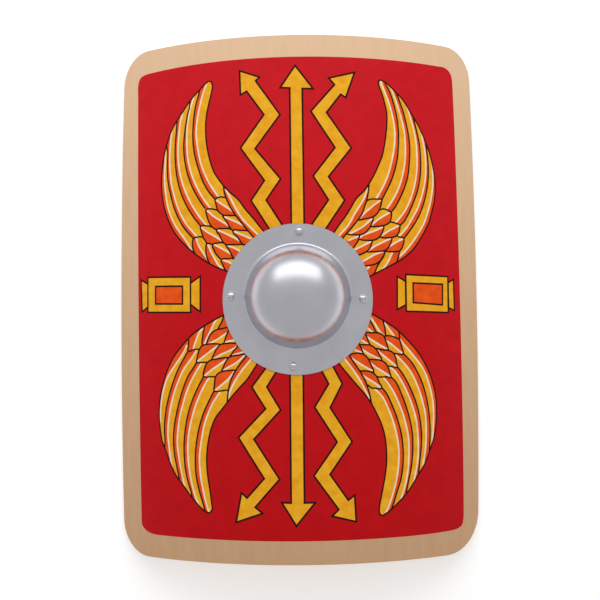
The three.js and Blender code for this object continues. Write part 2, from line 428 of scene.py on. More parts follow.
def record_depths(piece):
    """Each point's depth below the face, which the plies in the edge's finish follow."""
    depths = piece.data.attributes.new("depth", "FLOAT", "POINT")
    for vertex in piece.data.vertices:
        depths.data[vertex.index].value = place_in_board(vertex.co)[2]


def rest_places(corners):
    """The two rests lie one above the other in the map, each drawn out along the board."""
    inner_edge, across = 240, 0.0012
    return [((c.y / BOARD_LENGTH + 0.5) * 0.96 + 0.02, REST_BAND + (abs(c.x) - inner_edge) * across
             + (REST_BAND_PITCH if c.x > 0 else 0)) for c in corners]


def wall_places(spots):
    """Each wall is unrolled round its own middle into its own band, the rim's first."""
    reach = 8
    bolt_walls = [(*seat, reach) for seat in bolt_seats().values()]
    walls = [(0, BOSS_CENTRE_Y, HAND_HOLE_RADIUS + reach), *bolt_walls]
    band = 0
    middle = (0, 0)
    for i, (s, y, radius) in enumerate(walls):
        if math.dist(spots[0][:2], (s, y)) < radius:
            band = i + 1
            middle = (s, y)
            break
    turns = [math.atan2(y - middle[1], s - middle[0]) / (2 * math.pi) + 0.5 for s, y, _ in spots]
    if max(turns) - min(turns) > 0.5:
        turns = [t + 1 if t < 0.5 else t for t in turns]
    start = WALL_BAND + WALL_BAND_PITCH * band
    return [(t * 0.94 + 0.02, start + depth * WALL_DEPTH_SCALE) for t, (_, _, depth) in zip(turns, spots)]


def bake_map(piece, names):
    """Unrolls the face, the back, the edge and each hole's wall into their own parts of one map."""
    mesh = piece.data
    layer = mesh.uv_layers.new(name="OFBake")
    for polygon in mesh.polygons:
        kind = names[polygon.material_index]
        corners = [mesh.vertices[v].co for v in polygon.vertices]
        spots = [place_in_board(c) for c in corners]
        if is_rest(corners):
            found = rest_places(corners)
        elif kind == "edge":
            found = wall_places(spots)
        else:
            low, tall = BACK_BAND if kind == "back" else FACE_BAND
            found = [((y / BOARD_LENGTH + 0.5) * 0.98 + 0.01, low + (s / MAP_ARC + 0.5) * tall)
                     for s, y, _ in spots]
        for loop, place in zip(polygon.loop_indices, found):
            layer.data[loop].uv = place


# ---- Boss ----

def boss_outline(inset):
    """Half the section of one side of the steel, from the crown out, and where its fillet ends."""
    flange_top = GAP + STEEL_THICKNESS - inset
    rise = DOME_HEIGHT - DOME_SPRING
    join_angle = math.atan(math.tan(WALL_SLOPE) * DOME_RADIUS / rise)
    fillet = CREASE_FILLET + inset
    stations = []
    for i in range(DOME_STEPS + 1):
        angle = join_angle * i / DOME_STEPS
        slope = math.atan(math.tan(angle) * rise / DOME_RADIUS)
        r = DOME_RADIUS * math.sin(angle) - inset * math.sin(slope)
        stations.append((r, DOME_SPRING + rise * math.cos(angle) - inset * math.cos(slope)))
    join_r, join_h = stations[-1]
    wall_drop = join_h - flange_top - fillet * (1 - math.cos(WALL_SLOPE))
    fillet_centre = join_r + wall_drop / math.tan(WALL_SLOPE) + fillet * math.sin(WALL_SLOPE)
    wall_steps = 6
    wall_end = (fillet_centre - fillet * math.sin(WALL_SLOPE),
                flange_top + fillet * (1 - math.cos(WALL_SLOPE)))
    for i in range(1, wall_steps):
        part = i / wall_steps
        stations.append((lerp(join_r, wall_end[0], part), lerp(join_h, wall_end[1], part)))
    for i in range(FILLET_STEPS + 1):
        angle = WALL_SLOPE * (1 - i / FILLET_STEPS)
        r = fillet_centre - fillet * math.sin(angle)
        stations.append((r, flange_top + fillet * (1 - math.cos(angle))))
    flange_steps = 5
    for i in range(1, flange_steps):
        stations.append((lerp(fillet_centre, FLANGE_RADIUS, i / flange_steps), flange_top))
    return stations, fillet_centre


def boss_point(r, h, angle, fillet, fillet_centre):
    """Where the board falls away the wall runs on down at its own slope; the crown stays round."""
    follow = 1 - smoothstep(h, fillet, DOME_HEIGHT)
    shift = min(max((FLANGE_RADIUS - r) / (FLANGE_RADIUS - fillet_centre), 0), 1)
    fall = fall_at(r * math.cos(angle), BOSS_CENTRE_Y, 0)
    reach = r + shift * follow * fall / math.tan(WALL_SLOPE)
    x = DOME_SHIFT_X * shift + reach * math.cos(angle)
    y = BOSS_CENTRE_Y + DOME_SHIFT_Y * shift + reach * math.sin(angle)
    return Vector((x, y, CROWN_Z + h - follow * fall_at(x, y, 0)))


def boss(material):
    """A spun steel dome on a round flange that is rolled to the board's curve."""
    outside, outer_fillet = boss_outline(0)
    inside, inner_fillet = boss_outline(STEEL_THICKNESS)
    rim_ease = 0.4
    top = GAP + STEEL_THICKNESS
    rim = [(FLANGE_RADIUS - rim_ease, top), (FLANGE_RADIUS, top - rim_ease),
           (FLANGE_RADIUS, GAP + rim_ease), (FLANGE_RADIUS - rim_ease, GAP)]
    outline = outside + rim + inside[::-1]
    split = len(outside) + 2
    piece = turned("steel_boss", outline, BOSS_STEPS, False)
    for vertex in piece.data.vertices:
        r, h = math.hypot(vertex.co.x, vertex.co.y), vertex.co.z
        angle = math.atan2(vertex.co.y, vertex.co.x)
        nearest = min(range(len(outline)), key=lambda i: math.dist(outline[i], (r, h)))
        is_inside = nearest >= split
        fillet = CREASE_FILLET + (STEEL_THICKNESS if is_inside else 0)
        vertex.co = boss_point(r, h, angle, fillet, inner_fillet if is_inside else outer_fillet)
    to_metres(piece)
    work_on(piece)
    smooth_by(40)
    piece.data.materials.append(material)
    return piece


# ---- Fasteners ----

def clamped_depth(seat):
    through_grip = abs(seat[0]) > GRIP_PAD_START
    return BOARD_THICKNESS + (GAP + GRIP_PAD_THICKNESS if through_grip else 0)


def fitted(piece, seat, smooth_angle, material):
    """Stands a finished fastener on its seat and gives it its material."""
    to_metres(piece, stand_on_board(seat))
    work_on(piece)
    smooth_by(smooth_angle)
    piece.data.materials.append(material)
    return piece


def bolt(name, seat, material):
    """A dome-headed bolt, with the last of its thread standing out of its nut."""
    head_base = 2 * GAP + STEEL_THICKNESS
    tip = -(clamped_depth(seat) + 2 * GAP + WASHER_THICKNESS + NUT_HEIGHT + BOLT_STICK_OUT)
    curve = (HEAD_RADIUS**2 + HEAD_HEIGHT**2) / (2 * HEAD_HEIGHT)
    spread = math.asin(HEAD_RADIUS / curve)
    lip = 0.25
    end_chamfer = 0.5
    outline = [(0, tip), (BOLT_RADIUS - end_chamfer, tip)]
    pitch, thread_depth = 0.8, 0.3
    height = tip + end_chamfer
    while height < tip + BOLT_STICK_OUT + NUT_HEIGHT:
        outline += [(BOLT_RADIUS, height), (BOLT_RADIUS - thread_depth, height + pitch / 2)]
        height += pitch
    outline += [(BOLT_RADIUS, height), (BOLT_RADIUS, head_base), (HEAD_RADIUS - 0.3, head_base)]
    head_steps = 16
    for i in range(head_steps, -1, -1):
        angle = spread * i / head_steps
        rise = lip if i == head_steps else HEAD_HEIGHT - curve * (1 - math.cos(angle))
        outline.append((curve * math.sin(angle), head_base + rise))
    piece = turned(name, outline, TURNED_STEPS, False)
    return fitted(piece, seat, 35, material)


def washer(name, seat, material):
    top = -(clamped_depth(seat) + GAP)
    base = top - WASHER_THICKNESS
    ease = 0.25
    inner = BOLT_RADIUS + ease
    outline = [(inner, base), (WASHER_RADIUS - ease, base), (WASHER_RADIUS, base + ease),
               (WASHER_RADIUS, top - ease), (WASHER_RADIUS - ease, top), (inner, top)]
    piece = turned(name, outline, TURNED_STEPS, True)
    return fitted(piece, seat, 30, material)


def nut(name, seat, material):
    """A hexagon nut: a turned blank with chamfered corners, its flats planed with six cuts."""
    top = -(clamped_depth(seat) + 2 * GAP + WASHER_THICKNESS)
    base = top - NUT_HEIGHT
    corner = NUT_ACROSS_FLATS / math.sqrt(3)
    chamfer = corner - NUT_ACROSS_FLATS / 2
    bore = BOLT_RADIUS + 0.1
    drop = 0.6 * chamfer
    lead = 0.3
    outline = [(bore, base + lead), (bore + lead, base), (corner - chamfer, base), (corner, base + drop),
               (corner, top - drop), (corner - chamfer, top), (bore + lead, top), (bore, top - lead)]
    piece = turned(name, outline, TURNED_STEPS, True)
    edit_all()
    for i in range(6):
        angle = math.pi / 3 * i
        out = Vector((math.cos(angle), math.sin(angle), 0))
        bpy.ops.mesh.select_all(action="SELECT")
        flat = out * NUT_ACROSS_FLATS / 2
        bpy.ops.mesh.bisect(plane_co=flat, plane_no=out, use_fill=True, clear_outer=True)
    bpy.ops.object.mode_set(mode="OBJECT")
    return fitted(piece, seat, 20, material)


# ---- Grip ----

def grip(material):
    """A bar of ash, thick in the hand and flat where it is bolted to the board, with rounded arrises."""
    left, right = BOLT_PLACES["left"][1], BOLT_PLACES["right"][1]
    bolt_s = (left + right) / 2
    slope = bolt_s / WAIST_RADIUS
    pad_back = on_board(bolt_s, 0, BOARD_THICKNESS + GAP + GRIP_PAD_THICKNESS)
    hand_back = pad_back.z + math.tan(slope) * (pad_back.x - GRIP_PAD_START)
    bpy.ops.object.select_all(action="DESELECT")
    bpy.ops.mesh.primitive_cube_add(size=2, scale=(GRIP_HALF_LENGTH, 1, 1))
    piece = bpy.context.object
    bpy.ops.object.transform_apply(location=False, rotation=False, scale=True)
    piece.name = "ash_grip"
    piece.data.name = "ash_grip"
    stations = [6, 20, 34, *range(40, 56, 2), 59, 64, 72, 80, 88, 96, 104]
    edit_all()
    for place in [*stations, *[-p for p in stations]]:
        bpy.ops.mesh.select_all(action="SELECT")
        bpy.ops.mesh.bisect(plane_co=(place, 0, 0), plane_no=(1, 0, 0))
    bpy.ops.object.mode_set(mode="OBJECT")
    hand_at = {}
    for vertex in piece.data.vertices:
        x = vertex.co.x
        away = abs(x)
        hand = 1 - smoothstep(away, GRIP_HAND_HALF, GRIP_NECK_END)
        hand_at[vertex.index] = hand
        pad_top = CROWN_Z - fall_at(x, BOSS_CENTRE_Y, BOARD_THICKNESS + GAP)
        back = hand_back - math.tan(slope) * max(away - GRIP_PAD_START, 0)
        top = lerp(pad_top, hand_back + GRIP_HAND_THICKNESS, hand)
        half = lerp(GRIP_PAD_HALF_WIDTH, GRIP_HAND_HALF_WIDTH, hand)
        vertex.co = (x, BOSS_CENTRE_Y + math.copysign(half, vertex.co.y), top if vertex.co.z > 0 else back)
    weights = piece.data.attributes.new("bevel_weight_edge", "FLOAT", "EDGE")
    for edge in piece.data.edges:
        a, b = (piece.data.vertices[i] for i in edge.vertices)
        along = abs(a.co.x - b.co.x) > 0.5
        at_end = min(abs(a.co.x), abs(b.co.x)) > GRIP_HALF_LENGTH - 0.5
        hand = (hand_at[a.index] + hand_at[b.index]) / 2
        if along or at_end:
            weights.data[edge.index].value = lerp(GRIP_PAD_ARRIS, GRIP_HAND_ARRIS, hand) / GRIP_HAND_ARRIS
    to_metres(piece)
    work_on(piece)
    bevel = piece.modifiers.new("arrises", "BEVEL")
    bevel.width = GRIP_HAND_ARRIS * MM
    bevel.segments = 6
    bevel.limit_method = "WEIGHT"
    bpy.ops.object.modifier_apply(modifier=bevel.name)
    smooth_by(40)
    piece.data.materials.append(material)
    return piece


# ---- Finishes ----

def srgb(value):
    value /= 255
    return value / 12.92 if value <= 0.04045 else ((value + 0.055) / 1.055) ** 2.4


def tone(red, green, blue):
    return (srgb(red), srgb(green), srgb(blue), 1)


class Value:
    """A shader socket carrying a number, which takes part in Python arithmetic through Math nodes."""

    def __init__(self, finish, socket):
        self.finish = finish
        self.socket = socket

    def _math(self, operation, first, second):
        made = self.finish.node("Math", {"operation": operation}, {0: first, 1: second})
        return Value(self.finish, made.outputs[0])

    def __add__(self, other):
        return self._math("ADD", self, other)

    def __radd__(self, other):
        return self._math("ADD", other, self)

    def __sub__(self, other):
        return self._math("SUBTRACT", self, other)

    def __rsub__(self, other):
        return self._math("SUBTRACT", other, self)

    def __mul__(self, other):
        return self._math("MULTIPLY", self, other)

    def __rmul__(self, other):
        return self._math("MULTIPLY", other, self)

    def __gt__(self, other):
        return self._math("GREATER_THAN", self, other)

    def __mod__(self, other):
        return self._math("FLOORED_MODULO", self, other)


class Finish:
    """One material: its shader's constants, and the patterns that vary over the surface."""

    def __init__(self, name, roughness, metallic=0, specular=0.5):
        self.material = bpy.data.materials.new(name)
        self.material.use_nodes = True
        self.shader = self.material.node_tree.nodes["Principled BSDF"]
        self.shader.inputs["Roughness"].default_value = roughness
        self.shader.inputs["Metallic"].default_value = metallic
        self.shader.inputs["Specular IOR Level"].default_value = specular

    def join(self, socket, value):
        value = value.socket if isinstance(value, Value) else value
        if isinstance(value, bpy.types.NodeSocket):
            self.material.node_tree.links.new(value, socket)
        else:
            socket.default_value = value

    def node(self, kind, settings, sockets):
        """A node of the given type, with its settings made first and then its sockets filled or linked."""
        made = self.material.node_tree.nodes.new("ShaderNode" + kind)
        for key, value in settings.items():
            setattr(made, key, value)
        for key, value in sockets.items():
            self.join(made.inputs[key], value)
        return made

    def place(self, stretch=(1, 1, 1)):
        where = self.node("TexCoord", {}, {}).outputs["Object"]
        return self.node("Mapping", {}, {"Vector": where, "Scale": stretch}).outputs["Vector"]

    def noise(self, scale, detail=3, stretch=(1, 1, 1)):
        made = self.node("TexNoise", {}, {"Vector": self.place(stretch), "Scale": scale, "Detail": detail})
        return Value(self, made.outputs["Fac"])

    def blend(self, share, first, second):
        made = self.node("Mix", {"data_type": "RGBA"}, {"Factor": share, 6: first, 7: second})
        return made.outputs[2]

    def varies(self, share, low, high):
        ramp = self.node("MapRange", {}, {"Value": share, "From Min": low, "From Max": high})
        return Value(self, ramp.outputs["Result"])

    def colour(self, value):
        self.join(self.shader.inputs["Base Color"], value)

    def roughness(self, value):
        self.join(self.shader.inputs["Roughness"], value)

    def bump(self, height, millimetres, strength=1.0):
        made = self.node("Bump", {}, {"Height": height, "Distance": millimetres * MM, "Strength": strength})
        self.join(self.shader.inputs["Normal"], made.outputs["Normal"])


def paint(name, light, dark, mottle_scale=90):
    """Brushed-on satin paint: a cloudy coat with a fine tooth that catches the light."""
    finish = Finish(name, 0.5, specular=PAINT_SHINE)
    clouds = finish.noise(mottle_scale, 4)
    finish.colour(finish.blend(finish.varies(clouds, 0.35, 0.68), light, dark))
    tooth = finish.noise(1600, 2)
    finish.roughness(0.42 + 0.14 * finish.noise(240, 3))
    finish.bump(tooth, 0.06, 0.5)
    return finish.material


def red_paint():
    """The red ground, with painted shade: darker towards its lower end, away from the light above."""
    finish = Finish("red_paint", 0.45, specular=PAINT_SHINE)
    clouds = finish.noise(55, 5)
    # Painted light and shade: the first red is the lit red and the second a darker painted-shade copy, blended
    # along the board so that the lower end is painted darker.
    lit_red = finish.blend(finish.varies(clouds, 0.3, 0.7), tone(214, 20, 32), tone(204, 16, 28))
    shaded_red = finish.blend(finish.varies(clouds, 0.3, 0.7), tone(200, 4, 14), tone(190, 2, 10))
    along = finish.node("SeparateXYZ", {}, {"Vector": finish.place()}).outputs["Y"]
    finish.colour(finish.blend(finish.varies(along, -0.34, 0.2), shaded_red, lit_red))
    finish.roughness(0.36 + 0.12 * finish.noise(180, 3))
    finish.bump(finish.noise(1500, 2), 0.06, 0.5)
    return finish.material


def bare_border():
    """Pale sealed wood round the painting, with painted shade: a little browner and darker towards the lower
    end.
    """
    finish = Finish("bare_border", 0.6, specular=PAINT_SHINE)
    figure = finish.varies(finish.noise(40, 4, (3, 0.5, 3)), 0.3, 0.7)
    # Painted light and shade: the first tan is the lit one and the second a darker painted-shade copy, blended
    # along the board so that the lower end is painted darker.
    lit_tan = finish.blend(figure, tone(240, 202, 165), tone(236, 197, 160))
    shaded_tan = finish.blend(figure, tone(210, 168, 129), tone(204, 162, 124))
    along = finish.node("SeparateXYZ", {}, {"Vector": finish.place()}).outputs["Y"]
    finish.colour(finish.blend(finish.varies(along, -0.36, 0.34), shaded_tan, lit_tan))
    finish.roughness(0.52 + 0.16 * finish.noise(200, 3))
    finish.bump(finish.noise(900, 3, (4, 1, 4)), 0.05, 0.5)
    return finish.material


def grained_wood(name, light, dark, stretch, roughness):
    """Wood with its grain drawn out along one axis, and open pores."""
    finish = Finish(name, roughness, specular=0.35)
    rings = finish.varies(finish.noise(14, 6, stretch), 0.32, 0.68)
    pores = finish.varies(finish.noise(60, 3, stretch), 0.56, 0.7)
    finish.colour(finish.blend(pores * 0.45, finish.blend(rings, light, dark), tone(112, 76, 44)))
    finish.roughness(roughness + 0.15 * pores)
    finish.bump(1 - pores, 0.12, 0.6)
    return finish.material


def plywood_edge():
    """The cut edge of the plywood: five plies, every other one end grain and darker."""
    finish = Finish("plywood_edge", 0.65, specular=0.3)
    depth = Value(finish, finish.node("Attribute", {"attribute_name": "depth"}, {}).outputs["Fac"])
    end_grain = (depth % (2 * PLY_THICKNESS)) > PLY_THICKNESS
    fibres = finish.varies(finish.noise(500, 4), 0.3, 0.7)
    long_ply = finish.blend(fibres, tone(214, 176, 132), tone(196, 156, 112))
    cross_ply = finish.blend(fibres, tone(160, 118, 78), tone(138, 98, 62))
    finish.colour(finish.blend(end_grain, long_ply, cross_ply))
    finish.roughness(0.6 + 0.2 * fibres)
    finish.bump(fibres, 0.08, 0.6)
    return finish.material


def spun_steel():
    """Satin steel with the fine rings that spinning leaves about the boss's axis."""
    finish = Finish("boss_steel", 0.3, 1)
    spot = finish.node("Mapping", {}, {"Vector": finish.place(), "Location": (0, -BOSS_CENTRE_Y * MM, 0),
                                       "Scale": (1, 1, 0)}).outputs["Vector"]
    reach = Value(finish, finish.node("VectorMath", {"operation": "LENGTH"}, {0: spot}).outputs["Value"])
    rings = Value(finish, finish.node("TexNoise", {"noise_dimensions": "1D"},
                                      {"W": reach, "Scale": 1500, "Detail": 2}).outputs["Fac"])
    smears = finish.noise(30, 4)
    finish.colour(finish.blend(finish.varies(smears, 0.3, 0.7), tone(206, 206, 213), tone(196, 196, 204)))
    finish.roughness(0.24 + 0.07 * rings + 0.08 * smears)
    finish.bump(rings, 0.03, 0.25)
    return finish.material


def zinc():
    """Bright zinc plate with its faint cloudiness."""
    finish = Finish("bolt_zinc", 0.25, 1)
    clouds = finish.noise(350, 3)
    finish.colour(finish.blend(finish.varies(clouds, 0.3, 0.7), tone(214, 216, 220), tone(184, 186, 190)))
    finish.roughness(0.18 + 0.16 * clouds)
    finish.bump(clouds, 0.03, 0.4)
    return finish.material


def studio_floor():
    finish = Finish("pale_floor", 0.9, specular=0.1)
    finish.colour(finish.blend(finish.noise(3, 2), tone(254, 254, 254), tone(250, 250, 250)))
    finish.shader.inputs["Emission Color"].default_value = (1, 1, 1, 1)
    finish.shader.inputs["Emission Strength"].default_value = FLOOR_GLOW
    return finish.material


# ---- The painting: outlines on the unrolled face, in (s, y) ----

PAINT_LINE = 2.2
QUILL_LINE = 2.2
THUNDERBOLT_LINE = 2.5
TABLET_LINE = 2.4
CURVE_STEP = 4
STRAIGHT_STEP = 6
SHARPEST_MITRE = 0.35
SCALE_REACH = 22

# Each wing's lines run from the shield's middle outwards. Its five flight feathers lie between its outer
# line, four dividers and its inner line. Its scales are listed from the lowest to the uppermost in the overlap.
UPPER_LEFT_WING = {
    "golden side": (1, 1),
    "outer": [(-86, 31), (-93.3, 34), (-111.5, 41.3), (-132.8, 54), (-153, 70), (-171.2, 89.3),
              (-182.8, 110), (-189.4, 130), (-193, 155), (-192, 177), (-188, 200), (-181.7, 219.5),
              (-174, 235.6), (-160, 253.8), (-146, 271), (-130.6, 285), (-124.5, 290.5), (-119.3, 294)],
    "dividers": [
        [(-142.7, 80.3), (-152, 90), (-160, 100), (-170.7, 120), (-177.3, 140), (-182, 160), (-183.5, 180),
         (-182.6, 200), (-184.2, 211)],
        [(-132.2, 97.3), (-142.8, 110), (-155.3, 130), (-163.7, 150), (-168.5, 170), (-170.8, 195),
         (-170.5, 210), (-168.7, 230), (-167.5, 243.5)],
        [(-125, 120), (-132.2, 130), (-143.9, 150), (-151.6, 170), (-156, 190), (-157.2, 210), (-155, 230),
         (-151.4, 250), (-148.4, 260), (-147.3, 269)],
        [(-110.9, 132.5), (-117.9, 140), (-124.5, 150), (-129.6, 160), (-136.6, 180), (-141.5, 200),
         (-143.2, 222), (-141, 250), (-138, 265), (-134, 277), (-133, 283)],
    ],
    "inner": [(-98.8, 149.7), (-106.5, 160), (-112.7, 170), (-119.3, 190), (-123.2, 212), (-124, 235),
              (-122.5, 248), (-119.5, 262), (-116, 275), (-113.6, 287), (-115.4, 292.6), (-119.3, 294)],
    "quills": [
        [(-144, 62), (-152, 75), (-162, 88), (-170.7, 100), (-180.6, 120), (-185.3, 140), (-187.9, 165),
         (-186.9, 190), (-186.6, 204)],
        [(-137, 82), (-145, 91), (-153.1, 100), (-164.8, 120), (-172.1, 140), (-177.3, 160), (-179.1, 180),
         (-179.5, 195), (-178.5, 212), (-175.8, 231)],
        [(-122.5, 96.5), (-134, 110), (-147.2, 130), (-156.7, 150), (-163, 170), (-165.9, 190), (-166, 210),
         (-162.8, 240), (-158.8, 255)],
        [(-117, 119.5), (-125.2, 130), (-131.8, 140), (-142.1, 160), (-148.7, 180), (-152, 200),
         (-152, 230), (-149.5, 247), (-147, 259), (-141, 275.5)],
        [(-104.5, 133), (-109.8, 140), (-116.4, 150), (-122.3, 160), (-130.7, 180), (-135.3, 200),
         (-138.2, 222), (-136.3, 244), (-131.5, 265), (-128, 277), (-122.3, 291.8)],
    ],
    "covert": {
        "outer": [(-50, 70), (-58, 79), (-72, 96), (-86.9, 116), (-94, 130), (-97.4, 139), (-98.8, 149.7)],
        "quill": [(-45, 75), (-52.8, 83), (-62.4, 92.5), (-72, 103), (-79.5, 114), (-89, 132), (-96, 145)],
        "inner": [(-36, 78), (-45.3, 88), (-58, 104), (-68.8, 117), (-78.4, 130), (-90, 140.5),
                  (-98.8, 149.7)],
    },
    "scales": [
        ([(-107.3, 117), (-109.8, 126), (-111, 131.5), (-107.5, 134), (-102, 134.8), (-97, 133.6),
          (-88, 131), (-77, 110), (-84, 102), (-96, 103), (-103, 110)],
         [(-109.5, 130.8), (-99, 123.3), (-90, 117.3), (-83, 112)]),
        ([(-116, 95.5), (-120, 102), (-122.7, 110), (-124.3, 118), (-122, 119.6), (-115, 119),
          (-107.3, 116.7), (-103.3, 112.5), (-90, 104), (-80, 92), (-92, 85), (-110, 86)],
         [(-122.5, 117.6), (-113.3, 109.3), (-103.3, 102.7), (-94.7, 97.3), (-88, 93)]),
        ([(-127, 74), (-128.5, 82), (-130.7, 88.7), (-132.5, 96), (-129, 97.6), (-123.3, 96.6),
          (-116.7, 95.3), (-110, 91), (-98, 84), (-94, 72), (-108, 64), (-122, 68)],
         [(-131, 95), (-122, 88), (-113, 83), (-105.3, 78), (-99, 74)]),
        ([(-86.5, 88), (-90, 92.7), (-94.7, 101.3), (-100, 108.5), (-97, 109.6), (-90, 109), (-81.3, 108.3),
          (-68, 104), (-58, 86), (-66, 80), (-82, 80)],
         [(-98.5, 108.3), (-92, 105), (-83, 101), (-74.7, 96.7), (-66, 91)]),
        ([(-95, 68), (-100.7, 74.7), (-104.7, 83.3), (-109.5, 90.8), (-100, 91.8), (-90.7, 91.3), (-84, 88),
          (-70, 84), (-60, 72), (-72, 64), (-88, 62)],
         [(-108, 90.5), (-97, 85.5), (-87, 80.5), (-80, 76.7), (-72, 72)]),
        ([(-72, 69), (-79.3, 79.3), (-86, 88.2), (-76, 88.6), (-66, 87.6), (-54, 84), (-50, 66), (-62, 60)],
         [(-84.5, 87.5), (-78, 84.5), (-70, 81), (-61.3, 77)]),
        ([(-140.7, 60), (-143.5, 66.7), (-144.3, 73.3), (-143, 80), (-136, 82.3), (-129.3, 81.7),
          (-126, 78), (-123.3, 73.3), (-116, 66), (-108, 50), (-112, 36), (-130, 46)],
         [(-139, 81), (-134.7, 70), (-130, 62.7), (-125.3, 56), (-121, 50)]),
        ([(-118, 44), (-121.3, 50), (-124, 58), (-124.4, 66.7), (-123.3, 72.6), (-119, 72.6),
          (-115.3, 71.3), (-106, 68), (-96, 56), (-86, 40), (-94, 28), (-110, 34)],
         [(-121.8, 72), (-118, 63.3), (-112.7, 53.3), (-107.3, 44), (-102.7, 39.5), (-97, 35)]),
        ([(-100, 48), (-103.3, 51), (-109.3, 57.3), (-112.7, 63.3), (-115, 70.8), (-108.7, 72.6),
          (-100, 73), (-95.5, 70), (-84, 66), (-74, 52), (-84, 42), (-96, 44)],
         [(-113, 71.3), (-104, 66.5), (-96, 62), (-90.7, 58.7), (-84, 54)]),
        ([(-84.5, 51), (-88.7, 58), (-92, 64), (-95.7, 69.7), (-90, 69.8), (-80, 69.6), (-70, 69),
          (-60, 60), (-70, 46)],
         [(-94, 69), (-84.7, 65.5), (-76.7, 61)]),
        ([(-92, 28), (-97.3, 36.7), (-100.7, 44), (-102.6, 50.4), (-94, 51), (-84, 51), (-76, 44),
          (-80, 28)],
         [(-101, 50), (-92, 46.5), (-84, 42)]),
    ],
}
